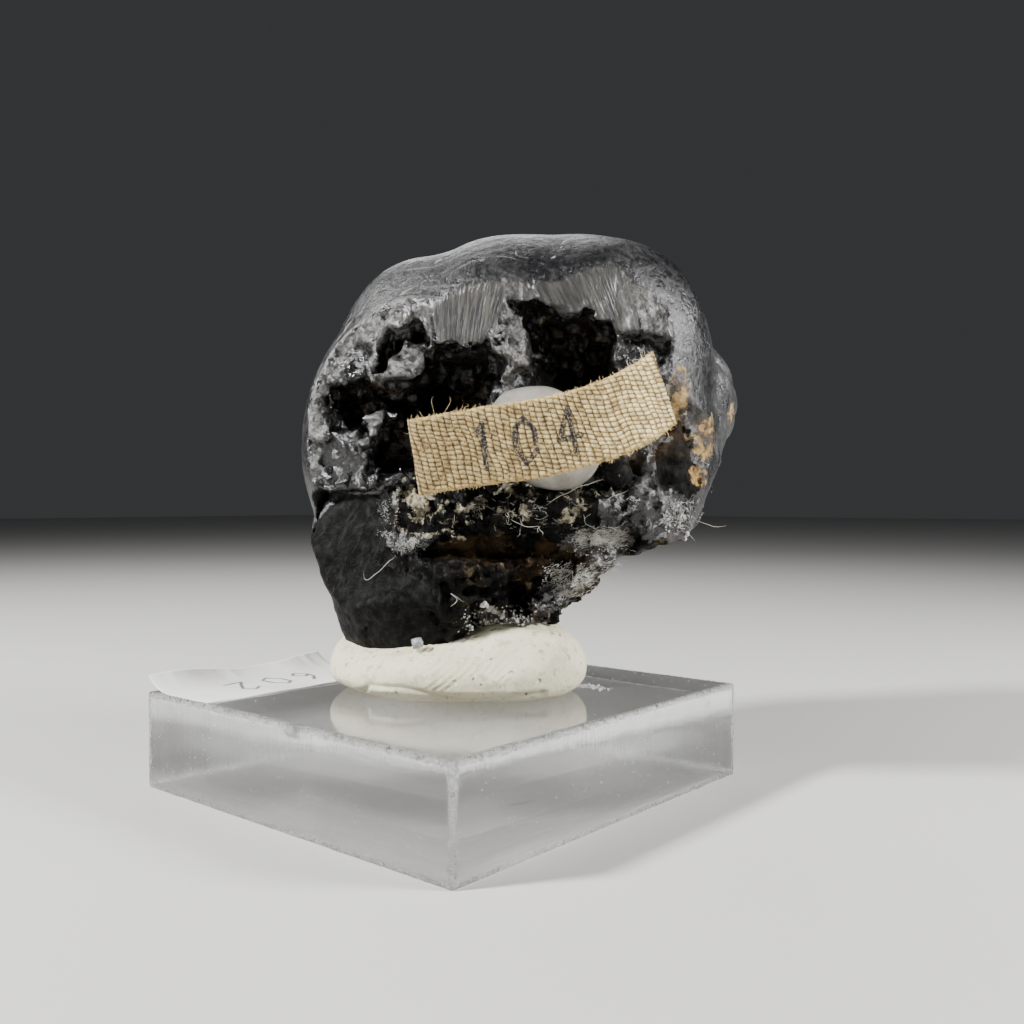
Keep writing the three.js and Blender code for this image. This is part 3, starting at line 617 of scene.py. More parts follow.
def new_piece(name, points, faces, material, layers=None, smooth=True):
    """Object at the origin from whole arrays: points in millimetres of the row's axes, and faces with
    equal numbers of corners. layers holds one value or vector a point, by name."""
    mesh = bpy.data.meshes.new(name)
    faces = np.asarray(faces)
    mesh.vertices.add(len(points))
    mesh.vertices.foreach_set("co", (points * MM).astype(np.float32).ravel())
    mesh.loops.add(faces.size)
    mesh.loops.foreach_set("vertex_index", faces.astype(np.int32).ravel())
    mesh.polygons.add(len(faces))
    mesh.polygons.foreach_set("loop_start", np.arange(0, faces.size, faces.shape[1], dtype=np.int32))
    mesh.update(calc_edges=True)
    for layer, values in (layers or {}).items():
        kind = "FLOAT" if values.ndim == 1 else "FLOAT_VECTOR"
        data = mesh.attributes.new(layer, kind, "POINT").data
        data.foreach_set("value" if values.ndim == 1 else "vector", values.astype(np.float32).ravel())
    mesh.polygons.foreach_set("use_smooth", np.full(len(faces), smooth))
    mesh.materials.append(material)
    piece = bpy.data.objects.new(name, mesh)
    bpy.context.scene.collection.objects.link(piece)
    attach(piece, "root")
    return piece


def largest_part(points, faces):
    """The points and faces of the largest connected part. Each point takes the least number among its
    neighbours until nothing changes, so that a part ends with one number."""
    label = np.arange(len(points))
    pairs = np.concatenate([faces[:, [0, 1]], faces[:, [1, 2]], faces[:, [2, 3]]])
    while True:
        low = label[pairs].min(1)
        new = label.copy()
        np.minimum.at(new, pairs[:, 0], low)
        np.minimum.at(new, pairs[:, 1], low)
        new = new[new]
        if (new == label).all():
            break
        label = new
    names, counts = np.unique(label, return_counts=True)
    keep = label == names[counts.argmax()]
    number = np.cumsum(keep) - 1
    return points[keep], number[faces[keep[faces[:, 0]]]]


def grid_points(low, count, step):
    """Places of all the nodes of a grid."""
    axes = [low[k] + step * np.arange(count[k]) for k in range(3)]
    return np.stack(np.meshgrid(*axes, indexing="ij"), -1)


def near_values(field, low, high, step, coarse):
    """Field over a fine grid, worked out only near the surface: a grid coarse times as wide finds the
    nodes that lie within a few steps of it, and all others keep the coarse value."""
    count = [int(math.ceil((high[k] - low[k]) / step / coarse)) * coarse for k in range(3)]
    rough_count = [n // coarse for n in count]
    middle = np.asarray(low) + step * (coarse - 1) / 2
    blocks = grid_points(middle, rough_count, step * coarse)
    rough_values = field(blocks.reshape(-1, 3)).reshape(rough_count)
    values = rough_values.repeat(coarse, 0).repeat(coarse, 1).repeat(coarse, 2)
    near = np.abs(values) < step * coarse * 1.4 + 0.9
    places = np.argwhere(near) * step + np.asarray(low)
    values[near] = field(places)
    values[~near] += np.sign(values[~near]) * 5
    return values


def net_surface(values, low, step):
    """Closed surface where gridded values pass nothing. Each crossed cell gets one point, the mean of
    the places where its edges are crossed, and each crossed edge gets one four-sided face between its
    four cells, turned outwards."""
    inside = values < 0
    cell_count = [n - 1 for n in values.shape]
    total = np.zeros(cell_count + [3])
    number = np.zeros(cell_count)
    crossings = []
    for axis in range(3):
        a = np.moveaxis(values, axis, 0)
        crossed = np.moveaxis((a[:-1] < 0) != (a[1:] < 0), 0, axis)
        share = np.moveaxis(a[:-1] / (a[:-1] - a[1:] + 1e-12), 0, axis)
        crossings.append(crossed)
        b, c = (axis + 1) % 3, (axis + 2) % 3
        for step_b in (0, 1):
            for step_c in (0, 1):
                part = [slice(None)] * 3
                part[b] = slice(step_b, step_b + cell_count[b])
                part[c] = slice(step_c, step_c + cell_count[c])
                hit = crossed[tuple(part)]
                total[..., axis] += hit * share[tuple(part)]
                total[..., b] += hit * step_b
                total[..., c] += hit * step_c
                number += hit
    used = number > 0
    index = np.cumsum(used).reshape(used.shape) - 1
    points = np.argwhere(used) + total[used] / number[used][:, None]
    faces = []
    for axis in range(3):
        b, c = (axis + 1) % 3, (axis + 2) % 3
        inner = [slice(None)] * 3
        inner[b] = inner[c] = slice(1, -1)
        crossed = crossings[axis][tuple(inner)]
        at = np.argwhere(crossed)
        at[:, b] += 1
        at[:, c] += 1
        ring = []
        for back_b, back_c in ((1, 1), (0, 1), (0, 0), (1, 0)):
            cell = at.copy()
            cell[:, b] -= back_b
            cell[:, c] -= back_c
            ring.append(index[tuple(cell.T)])
        ring = np.stack(ring, -1)
        outward = inside[tuple(at.T)]
        faces.append(np.where(outward[:, None], ring, ring[:, ::-1]))
    return points * step + np.asarray(low), np.concatenate(faces)


def grid_faces(rows, columns, rings=False):
    """Four-sided faces of a grid of points numbered row by row, whose rows may be closed rings."""
    i = np.arange(rows - 1)
    j = np.arange(columns if rings else columns - 1)
    i, j = (v.ravel() for v in np.meshgrid(i, j, indexing="ij"))
    j_next = (j + 1) % columns
    return np.stack([i * columns + j, (i + 1) * columns + j, (i + 1) * columns + j_next,
                     i * columns + j_next], -1)


def ray_surface(field, middle, turns, rises, reach):
    """Surface of a body that is seen whole from its middle, as a function of two angles. Along each
    direction the distance where the field passes nothing is found by halving. Returns the grid of
    points, whose first and last rows are the two poles, and the grid of directions."""
    turn = np.linspace(0, 2 * math.pi, turns, endpoint=False)
    rise = np.linspace(-math.pi / 2, math.pi / 2, rises)
    rise, turn = np.meshgrid(rise, turn, indexing="ij")
    way = np.stack([np.cos(rise) * np.cos(turn), np.cos(rise) * np.sin(turn), np.sin(rise)], -1)
    low = np.zeros(rise.shape)
    high = np.full(rise.shape, reach)
    for _ in range(HALVINGS):
        half = (low + high) / 2
        inside = field((np.asarray(middle) + way * half[..., None]).reshape(-1, 3)) < 0
        inside = inside.reshape(rise.shape)
        low = np.where(inside, half, low)
        high = np.where(inside, high, half)
    return np.asarray(middle) + way * low[..., None], way


def closed_ball(grid):
    """Points and faces of a grid whose first and last rows are poles: each pole becomes one point, and
    the faces that touch it are given its number twice."""
    rows, columns = grid.shape[:2]
    points = grid.reshape(-1, 3)
    faces = grid_faces(rows, columns, rings=True)[:, ::-1]
    number = np.arange(len(points))
    number[:columns] = 0
    number[-columns:] = (rows - 1) * columns
    faces = number[faces]
    return points, faces


def clean(piece, distance=SAME_PLACE):
    """Merges points that lie together, drops faces left without area and turns the rest outwards."""
    work = bmesh.new()
    work.from_mesh(piece.data)
    bmesh.ops.remove_doubles(work, verts=work.verts, dist=distance)
    bmesh.ops.dissolve_degenerate(work, dist=NO_LENGTH, edges=work.edges)
    loose = [vert for vert in work.verts if not vert.link_faces]
    bmesh.ops.delete(work, geom=loose, context="VERTS")
    bmesh.ops.recalc_face_normals(work, faces=work.faces)
    work.to_mesh(piece.data)
    work.free()


def tubes(paths, radii, sides=3):
    """Many closed threads as one array: paths is threads by points by three."""
    paths = np.asarray(paths, float)
    way = np.gradient(paths, axis=1)
    way /= np.linalg.norm(way, axis=2, keepdims=True) + 1e-12
    aside = np.cross(way, (0.31, 0.83, 0.46))
    aside /= np.linalg.norm(aside, axis=2, keepdims=True) + 1e-12
    up = np.cross(way, aside)
    turn = np.arange(sides) * 2 * math.pi / sides
    count, length = paths.shape[:2]
    share = np.linspace(0, 1, length)
    taper = np.minimum(1, 5 * (1 - share) + 0.04) * np.minimum(1, 5 * share + 0.04)
    size = np.asarray(radii)[:, None] * taper
    ring = (aside[:, :, None] * np.cos(turn)[:, None] + up[:, :, None] * np.sin(turn)[:, None])
    points = paths[:, :, None] + ring * size[..., None, None]
    one = grid_faces(length, sides, rings=True)
    faces = one[None] + (np.arange(count) * length * sides)[:, None, None]
    return points.reshape(-1, 3), faces.reshape(-1, 4)


# Nodes of a material, in short calls

class Paint:
    """A material under construction"""

    def __init__(self, name):
        self.material = bpy.data.materials.new(name)
        self.material.use_nodes = True
        self.nodes = self.material.node_tree.nodes
        self.links = self.material.node_tree.links
        self.shader = self.nodes["Principled BSDF"]
        self.place = self.nodes.new("ShaderNodeTexCoord").outputs["Object"]

    def set(self, socket, value):
        """Puts a value on a socket, or links another socket to it."""
        if isinstance(value, bpy.types.NodeSocket):
            self.links.new(value, socket)
        elif value is not None:
            if hasattr(socket.default_value, "__len__") and not hasattr(value, "__len__"):
                value = (value,) * len(socket.default_value)
            elif hasattr(value, "__len__") and len(socket.default_value) == 4 and len(value) == 3:
                value = (*value, 1)
            socket.default_value = value

    def base(self, **values):
        """Values or links on the shader's own sockets, by name with spaces as underscores."""
        for name, value in values.items():
            self.set(self.shader.inputs[name.replace("_", " ")], value)

    def layer(self, name, output="Fac"):
        node = self.nodes.new("ShaderNodeAttribute")
        node.attribute_name = name
        return node.outputs[output]

    def math(self, operation, a, b=None):
        node = self.nodes.new("ShaderNodeMath")
        node.operation = operation
        self.set(node.inputs[0], a)
        self.set(node.inputs[1], b)
        return node.outputs[0]

    def plus(self, a, b):
        return self.math("ADD", a, b)

    def less(self, a, b):
        return self.math("SUBTRACT", a, b)

    def times(self, a, b):
        return self.math("MULTIPLY", a, b)

    def most(self, a, b):
        return self.math("MAXIMUM", a, b)

    def limit(self, value, low, high, to_low=0.0, to_high=1.0):
        """Value between two limits, stretched to two others."""
        node = self.nodes.new("ShaderNodeMapRange")
        node.interpolation_type = "SMOOTHSTEP"
        for socket, number in zip(node.inputs, (value, low, high, to_low, to_high)):
            self.set(socket, number)
        return node.outputs[0]

    def patch(self, weight, pattern):
        """Uneven patch: nothing where the weight is none, half of the pattern at a half, all at one."""
        return self.limit(self.plus(weight, pattern), 0.96, 1.06)

    def mix(self, share, a, b):
        node = self.nodes.new("ShaderNodeMix")
        node.data_type = "RGBA"
        self.set(node.inputs[0], share)
        self.set(node.inputs[6], a)
        self.set(node.inputs[7], b)
        return node.outputs[2]

    def blend(self, share, a, b):
        node = self.nodes.new("ShaderNodeMix")
        self.set(node.inputs[0], share)
        self.set(node.inputs[2], a)
        self.set(node.inputs[3], b)
        return node.outputs[0]

    def spots(self, scale, detail=4.0, roughness=0.6, place=None):
        node = self.nodes.new("ShaderNodeTexNoise")
        self.set(node.inputs["Vector"], place or self.place)
        self.set(node.inputs["Scale"], scale)
        self.set(node.inputs["Detail"], detail)
        self.set(node.inputs["Roughness"], roughness)
        return node.outputs["Fac"]

    def cells(self, scale, feature="F1", output="Distance"):
        node = self.nodes.new("ShaderNodeTexVoronoi")
        node.feature = feature
        self.set(node.inputs["Vector"], self.place)
        self.set(node.inputs["Scale"], scale)
        return node.outputs[output]

    def flakes(self, scale, size):
        """Height of small flat facets in metres: in each cell, the place from the cell's point times
        the cell's own tilt."""
        node = self.nodes.new("ShaderNodeTexVoronoi")
        self.set(node.inputs["Vector"], self.place)
        self.set(node.inputs["Scale"], scale)
        away = self.vector("SUBTRACT", self.place, node.outputs["Position"])
        tilt = self.vector("SUBTRACT", node.outputs["Color"], (0.5, 0.5, 0.5))
        return self.times(self.vector("DOT_PRODUCT", away, tilt, "Value"), size)

    def vector(self, operation, a, b, output="Vector"):
        node = self.nodes.new("ShaderNodeVectorMath")
        node.operation = operation
        self.set(node.inputs[0], a)
        self.set(node.inputs[1], b)
        return node.outputs[output]

    def stretch(self, scale):
        node = self.nodes.new("ShaderNodeMapping")
        self.set(node.inputs["Vector"], self.place)
        self.set(node.inputs["Scale"], scale)
        return node.outputs[0]

    def bump(self, height, distance, normal=None, strength=1.0):
        node = self.nodes.new("ShaderNodeBump")
        self.set(node.inputs["Strength"], strength)
        self.set(node.inputs["Distance"], distance)
        self.set(node.inputs["Height"], height)
        self.set(node.inputs["Normal"], normal)
        return node.outputs[0]


# Tints that the nodule's material mixes with the user's own colours
DUSTY_SKIN = (0.032, 0.032, 0.032)
SKIN_SPECK = (0.12, 0.115, 0.11)
SEAM_FILL = (0.26, 0.24, 0.21)
BLACK_ROCK = (0.002, 0.002, 0.002)
GREY_ROCK = (0.014, 0.013, 0.012)
SILK_SHADE = (0.004, 0.004, 0.004)
SILK_HAZE = (0.05, 0.046, 0.040)
CHALK_SHADE = (0.016, 0.015, 0.014)
CHALK = (0.26, 0.252, 0.228)
WORN_SHADE = (0.004, 0.004, 0.004)
WORN_ROCK = (0.013, 0.013, 0.012)
WORN_STREAK = (0.024, 0.024, 0.023)
HOLLOW_SHADE = (0.003, 0.003, 0.003)
BROWN_STAIN = (0.055, 0.033, 0.015)
GOLD_FLECK = (0.26, 0.20, 0.11)
CRUST_SHADE = (0.07, 0.06, 0.04)
EARTH_SHADE = (0.040, 0.024, 0.012)
SUGARY = (0.50, 0.49, 0.46)


def ore_material(colours, name, ior):
    """Black skin that shines, silky broken fibres, rough black fracture, cream crust, tan patches and
    painted shade in the hollows and the recess.
    """
    paint = Paint(name)
    broken, light, fibrous, crust, rust, deep, cheek, pale, band, seam = (
        paint.layer(name) for name in
        ("broken", "light", "fibrous", "crust", "rust", "deep", "cheek", "pale", "band", "seam"))
    fine = paint.spots(1500, 6, 0.65)
    medium = paint.spots(420, 5, 0.6)
    wide = paint.spots(110, 4, 0.6)
    grain = paint.spots(4.0, 4, 0.62, place=paint.layer("fibre", "Vector"))

    dusty = paint.times(paint.limit(wide, 0.42, 0.68), paint.limit(fine, 0.30, 0.65, 0.4, 1.0))
    skin = paint.mix(dusty, colours.ore, DUSTY_SKIN)
    skin = paint.mix(paint.limit(paint.spots(3000, 3, 0.6), 0.62, 0.68, 0.0, 0.5), skin, SKIN_SPECK)
    unbroken = paint.less(1.0, paint.most(broken, cheek))
    seams = paint.times(paint.limit(seam, 0.12, 0.03), paint.limit(fine, 0.38, 0.48))
    for at in BANDS:
        away = paint.math("ABSOLUTE", paint.less(band, at + 0.1))
        faint = paint.times(paint.limit(away, 0.10, 0.0), paint.limit(medium, 0.49, 0.60))
        seams = paint.most(seams, paint.times(faint, 0.8))
    seams = paint.times(seams, unbroken)
    skin = paint.mix(paint.times(seams, 0.6), skin, SEAM_FILL)
    black = paint.mix(paint.limit(medium, 0.4, 0.75), BLACK_ROCK, GREY_ROCK)
    silk = paint.mix(paint.limit(grain, 0.42, 0.62), SILK_SHADE, colours.fibre)
    silk = paint.mix(paint.limit(wide, 0.40, 0.62, 0.0, 0.45), silk, SILK_HAZE)
    dust = paint.limit(paint.spots(4200, 4, 0.7), 0.38, 0.62)
    chalk = paint.mix(paint.times(dust, paint.limit(medium, 0.35, 0.60, 0.25, 1.0)), CHALK_SHADE, CHALK)
    lit = paint.mix(fibrous, chalk, silk)
    fracture = paint.mix(light, black, lit)
    matte = paint.mix(paint.limit(fine, 0.42, 0.68), WORN_SHADE, WORN_ROCK)
    matte = paint.mix(paint.limit(grain, 0.52, 0.72), matte, WORN_STREAK)
    fracture = paint.mix(cheek, fracture, matte)
    mottle = paint.spots(650, 6, 0.7)
    # Painted shade in the hollows, the recess and the low layers: near black, with brown stains and gold
    # flecks of the rock's own, laid where the deep mask says.
    dark = paint.mix(paint.limit(paint.spots(260, 5, 0.65), 0.46, 0.66), HOLLOW_SHADE, BROWN_STAIN)
    dark = paint.mix(paint.limit(mottle, 0.57, 0.66, 0.0, 0.8), dark, GOLD_FLECK)
    fracture = paint.mix(deep, fracture, dark)
    body = paint.mix(paint.most(broken, cheek), skin, fracture)
    cream_spots = paint.patch(crust, paint.less(paint.times(mottle, 1.6), 0.3))
    cream = paint.mix(paint.limit(fine, 0.38, 0.64), CRUST_SHADE, colours.crust)
    body = paint.mix(cream_spots, body, cream)
    ragged = paint.less(paint.plus(medium, mottle), 0.5)
    rust_spots = paint.patch(rust, ragged)
    earth = paint.mix(paint.limit(mottle, 0.44, 0.60), EARTH_SHADE, colours.rust)
    body = paint.mix(rust_spots, body, earth)
    pale_spots = paint.patch(pale, fine)
    body = paint.mix(pale_spots, body, SUGARY)

    shine = paint.limit(paint.times(paint.plus(wide, fine), 0.5), 0.40, 0.62, 0.22, 0.50)
    glints = paint.limit(paint.cells(1100, output="Color"), 0.15, 0.85, 0.09, 0.32)
    glints = paint.blend(fibrous, glints, paint.limit(grain, 0.40, 0.60, 0.55, 0.24))
    dull = paint.blend(cheek, glints, 0.52)
    dull = paint.blend(paint.times(light, paint.less(1.0, fibrous)), dull, 0.62)
    dull = paint.blend(paint.times(deep, 0.3), dull, 0.75)
    rough_value = paint.blend(paint.most(broken, cheek), shine, dull)
    earthy = paint.most(paint.most(cream_spots, rust_spots), pale_spots)
    rough_value = paint.blend(earthy, rough_value, 0.9)

    rugged = paint.times(broken, paint.less(1.0, fibrous))
    rugged = paint.times(rugged, paint.blend(cheek, 1.0, 0.2))
    rugged = paint.times(rugged, paint.blend(earthy, 1.0, 0.4))
    flat_large = paint.flakes(1500, 1.1)
    flat_small = paint.flakes(3600, 0.5)
    height = paint.times(paint.plus(flat_large, flat_small), rugged)
    normal = paint.bump(height, 0.8)
    uneven = paint.plus(medium, paint.times(fine, 1.4))
    uneven = paint.times(uneven, paint.less(1.0, fibrous))
    normal = paint.bump(uneven, 0.00013, normal)
    streaks = paint.times(grain, paint.most(fibrous, paint.times(cheek, 0.5)))
    normal = paint.bump(streaks, 0.00012, normal)
    normal = paint.bump(paint.times(seams, -1.0), 0.00012, normal)
    paint.base(Base_Color=body, Roughness=rough_value, IOR=ior, Normal=normal)
    return paint.material


def putty_material(colours):
    """Matte cream with fine dark specks and soft mottling."""
    paint = Paint("putty")
    wide = paint.spots(160, 4, 0.6)
    specks = paint.limit(paint.cells(1100), 0.16, 0.06)
    specks = paint.times(specks, paint.limit(paint.spots(700, 3), 0.55, 0.62))
    body = paint.mix(paint.limit(wide, 0.40, 0.62), (0.83, 0.77, 0.55), colours.putty)
    body = paint.mix(paint.limit(paint.spots(1300, 3), 0.54, 0.68, 0.0, 0.6), body, (0.56, 0.48, 0.30))
    body = paint.mix(paint.times(specks, 0.8), body, (0.10, 0.08, 0.05))
    pores = paint.limit(paint.cells(700), 0.22, 0.05)
    height = paint.plus(paint.spots(1100, 6, 0.8), paint.times(specks, -2.0))
    height = paint.plus(height, paint.times(pores, -0.8))
    paint.base(Base_Color=body, Roughness=0.72, Subsurface_Weight=0.12, Subsurface_Scale=0.001,
               Normal=paint.bump(height, 0.0004))
    paint.shader.inputs["Subsurface Radius"].default_value = (1.0, 0.8, 0.5)
    return paint.material


def acrylic_material():
    """Clear acrylic: polished top, saw lines down the sides and frosted edges."""
    paint = Paint("clear acrylic")
    edge = paint.layer("edge")
    geometry = paint.nodes.new("ShaderNodeNewGeometry")
    split = paint.nodes.new("ShaderNodeSeparateXYZ")
    paint.links.new(geometry.outputs["Normal"], split.inputs[0])
    side = paint.limit(paint.math("ABSOLUTE", split.outputs["Z"]), 0.7, 0.3)
    lines = paint.spots(1.0, 4, 0.7, place=paint.stretch((2600, 2600, 50)))
    scratches = paint.spots(1.0, 5, 0.75, place=paint.stretch((180, 2400, 180)))
    height = paint.blend(side, paint.times(scratches, 0.10), lines)
    grit = paint.spots(2200, 3)
    frost = paint.times(edge, paint.limit(grit, 0.35, 0.55))
    normal = paint.bump(height, 0.00005, strength=0.9)
    normal = paint.bump(paint.times(frost, grit), 0.00015, normal)
    rough_value = paint.most(paint.times(side, paint.limit(lines, 0.45, 0.75, 0.0, 0.10)),
                            paint.times(frost, 0.55))
    paint.base(Base_Color=(0.985, 0.99, 0.99), Roughness=rough_value, IOR=1.49,
               Transmission_Weight=1.0, Normal=normal)
    return paint.material


def cloth_material(colours):
    """Tan yarn with painted shade between the threads and towards the strip's left end, and ink where
    numbers are written.
    """
    paint = Paint("woven cloth")
    thread, ink, edge, tone = (paint.layer(name) for name in ("thread", "ink", "edge", "tone"))
    fuzz = paint.spots(2600, 5, 0.7)
    wide = paint.spots(300, 3, 0.6)
    # Painted shade: the low places between the threads, where the weave's height is least, take a dark
    # brown.
    gap_shade = paint.mix(wide, (0.070, 0.038, 0.011), (0.15, 0.090, 0.030))
    yarn = paint.mix(paint.limit(fuzz, 0.36, 0.57), colours.cloth, (1.0, 0.84, 0.44))
    # Painted shade from the tone layer: the yarn darkens towards the strip's left end, besides each
    # stitch's chance tone.
    yarn = paint.mix(paint.times(tone, 0.75), yarn, (0.33, 0.235, 0.10))
    body = paint.mix(paint.limit(thread, 0.30, 0.90), gap_shade, yarn)
    body = paint.mix(paint.times(edge, paint.limit(fuzz, 0.4, 0.6, 0.2, 0.8)), body, (0.62, 0.43, 0.15))
    stain = paint.times(ink, paint.limit(fuzz, 0.34, 0.50))
    body = paint.mix(stain, body, colours.ink)
    paint.base(Base_Color=body, Roughness=0.92, Sheen_Weight=0.15, Sheen_Roughness=0.5,
               Normal=paint.bump(fuzz, 0.00014))
    return paint.material


def fibre_material(name, value):
    paint = Paint(name)
    tint = paint.mix(paint.spots(900, 2), tuple(0.8 * v for v in value), value)
    paint.base(Base_Color=tint, Roughness=0.8, Sheen_Weight=0.3)
    return paint.material


def glue_material():
    """Set glue: whitish and half clear."""
    paint = Paint("set glue")
    cloudy = paint.spots(350, 4, 0.6)
    net = paint.cells(2400, "DISTANCE_TO_EDGE")
    tint = paint.mix(paint.limit(cloudy, 0.3, 0.7), (0.40, 0.37, 0.30), (0.66, 0.63, 0.56))
    tint = paint.mix(paint.limit(net, 0.06, 0.0, 0.0, 0.3), tint, (0.78, 0.76, 0.70))
    normal = paint.bump(paint.spots(500, 4, 0.6), 0.00010, strength=0.6)
    paint.base(Base_Color=tint, Roughness=0.30, IOR=1.48, Transmission_Weight=0.55,
               Subsurface_Weight=0.15, Subsurface_Scale=0.002, Normal=normal)
    return paint.material


def paper_material(colours):
    """White paper with faint fibres, grey wear and ink where numbers are written."""
    paint = Paint("white paper")
    ink = paint.layer("ink")
    wide = paint.spots(200, 3, 0.6)
    body = paint.mix(paint.limit(wide, 0.4, 0.7), tuple(colours.paper), (0.72, 0.71, 0.69))
    body = paint.mix(paint.times(ink, 0.85), body, colours.ink)
    normal = paint.bump(paint.spots(1500, 4), 0.00003, strength=0.6)
    paint.base(Base_Color=body, Roughness=0.78, Normal=normal)
    return paint.material


def crumb_material(name, value, roughness):
    paint = Paint(name)
    tint = paint.mix(paint.limit(paint.spots(1500, 3), 0.35, 0.65), tuple(0.45 * v for v in value), value)
    normal = paint.bump(paint.spots(3000, 3), 0.00004, strength=0.8)
    paint.base(Base_Color=tint, Roughness=roughness, Normal=normal)
    return paint.material


# Operators, one for each piece or group of like pieces

class SPECIMEN_OT_nodule(Operator):
    """Grow the nodule: smooth lobes, broken side, hollows, crags and layers"""
    bl_idname = "specimen.nodule"
    bl_label = "Nodule"

    def execute(self, context):
        # The nodule folds back under its ledges and into its hollows, so no function of two
        # parameters can follow it: its surface is where a field over a grid passes nothing.
        step = context.scene.specimen_sizes.nodule_step / MM
        low, high = NODULE_BOX
        values = near_values(lambda p: nodule_field(p)[0], low, high, step, coarse=4)
        points, faces = net_surface(values, low, step)
        points, faces = largest_part(points, faces)
        _, broken, zone = nodule_field(points)
        colours = context.scene.specimen_colours
        material = ore_material(colours, "cassiterite", ORE_IOR)
        layers = nodule_layers(points, broken, zone)
        piece = new_piece("nodule_stone", to_row(points), faces, material, layers)
        piece.data.materials.append(ore_material(colours, "worn cassiterite", WORN_IOR))
        worn = worn_faces(points, faces, layers)
        piece.data.polygons.foreach_set("material_index", worn.astype(np.int32))
        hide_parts("cassiterite_nodule")
        return {"FINISHED"}


def worn_faces(points, faces, layers):
    """Which faces take the worn finish: those on worn places and on low broken rock without a pale
    patch, as the mean of their corners says."""
    under_strip = (points[:, 0] > DULL_LEFT) & (points[:, 0] < DULL_RIGHT)
    top = np.where(under_strip, LEDGE_TOP, RECESS_TOP) + 0.8 * noise(points, 1.5, 99)
    low_rock = (points[:, 2] < top) & (layers["pale"] < 0.1) & (layers["broken"] > 0.5)
    return np.maximum(layers["cheek"], low_rock)[faces].mean(1) > 0.5


def nodule_layers(p, broken, zone):
    """Values at each point that the material paints by."""
    x, y, z = p.T
    plate_y, on, calm, light = plates(x, z, np.full(x.shape, 9.0))
    pits = hollows(x, z, PITS)
    on = on * broken * (np.abs(y - plate_y) < 0.9) * (1 - ramp(pits / 0.8))
    below = y - plain_face(x)
    shell = broken * ramp((outer_skin(p) + 1.2) / 0.7) * ramp((-3.0 - x) / 1.5) * ramp((z - 27) / 2)
    pillar = spot(p, (6.4, -5.0, 36.0), (1.8, 4.5, 4.0)) * broken
    crags = broken * window(x, -15, -1, 1.5) * window(z, 29.5, 44, 2) * ramp((1.2 - below) / 1.2)
    patchy = ramp(0.10 + 1.7 * noise(p, 1.9, 94))
    sparkle = ramp(0.5 + 1.2 * facets(p * (1, 1, 0.6), 1.0, 61))
    uneven = 1 - 0.55 * (1 - sparkle) * (calm < 0.3)
    light = np.maximum.reduce(
        [on * light * uneven, 0.7 * shell, 0.6 * pillar * sparkle, 0.3 * crags * patchy])
    right = broken * ramp((x - 13) / 2) * ramp((35 - z) / 2)
    light = np.maximum(light, 0.35 * right * patchy * sparkle)
    light = np.maximum(light, 0.45 * broken * band_spot(x, z, LIGHT_LINE, 1.1))
    # Painted shade: the deep mask darkens broken rock that lies far behind the broken side, in the hollows,
    # and is weaker on chance facets; the recess and the low layers under it take the same painted shade.
    deep = broken * (1 - on) * (1 - pillar) * ramp((below - 1.3) / 2.2) * ramp((z - 28) / 2)
    deep = deep * (1 - 0.55 * sparkle)
    recess = broken * window(z, 19.6, 23.4, 0.8) * ramp((x + 1) / 2) * ramp((y + 6.0) / 1.5)
    low = broken * ramp((21.8 - z) / 1.2) * ramp((x - 1) / 2)
    deep = np.maximum.reduce([deep, recess, 0.55 * low])
    fibrous = on * ramp(calm * 3 - 1.7)
    crust, rust, pale = stains(p, broken)
    return {"broken": broken, "light": light, "fibrous": fibrous, "deep": deep, "seam": seam_distance(p),
            "crust": crust, "rust": rust, "pale": pale, "cheek": worn_share(p, zone) * broken,
            "fibre": fibre_place(p), "band": np.where(x < 9, band_place(p), 99.0)}


def stains(p, broken):
    """How strongly each point is stained: the cream crust on the ledge and along its lower edge, the
    tan earthy patches and the pale ones."""
    x, y, z = p.T
    crust = broken * window(z, 23.0, 28.6, 0.9) * window(x, -5.5, 17, 1.5) * ramp((1 - y) / 3)
    crust = crust * (0.45 - 0.10 * ramp((x - 7) / 4) + 0.13 * noise(p, 2.2, 91))
    cream_edge = band_spot(x, z, CREAM_LINE, 0.42) * (0.52 + 0.12 * noise(p, 0.8, 92))
    crust = np.maximum(crust, broken * cream_edge)
    rust = np.maximum.reduce([share * spot(p, middle, half) for share, middle, half in RUST_SPOTS])
    pale = np.maximum.reduce([share * spot(p, middle, half) for share, middle, half in PALE_SPOTS])
    slanted = band_spot(x, z, PALE_LINE, 1.1) * ramp((3 - y) / 2)
    return crust, rust, np.maximum(pale, 0.48 * broken * slanted)


def worn_share(p, zone):
    """How worn each point is: the cheek, the four lumps at the lower right and the foot."""
    x, _, z = p.T
    lumps = sum(spot(p, middle, 1.9 * np.asarray(half)) for middle, half in LUMPS[:4])
    lumps = np.minimum(lumps + 0.5 * noise(p, 1.2, 98), 1) * (lumps > 0.05)
    foot = 0.9 * ramp((0.8 * (z - 11) - 0.5 - x + 2.0 * noise(p, 1.8, 99)) / 1.5) * ramp((19.5 - z) / 2)
    return np.maximum.reduce([zone, lumps, foot])


def fibre_place(p):
    """Place of each point among the fibres, which fan out from the nearest growth centre: the angle
    round it times the usual way to it, and the way to it drawn together, so that a pattern on these
    places runs in streaks."""
    x, y, z = p.T
    fan = np.where(x > 6.6, 1, np.where((z > 38.5) & (x > -3.5), 0, 2))
    centres = np.asarray(FAN_CENTRES)[fan]
    across, up = x - centres[:, 0], z - centres[:, 1]
    return np.stack([np.arctan2(across, up) * centres[:, 2], np.hypot(across, up) * 0.07, y * 0.8], -1)


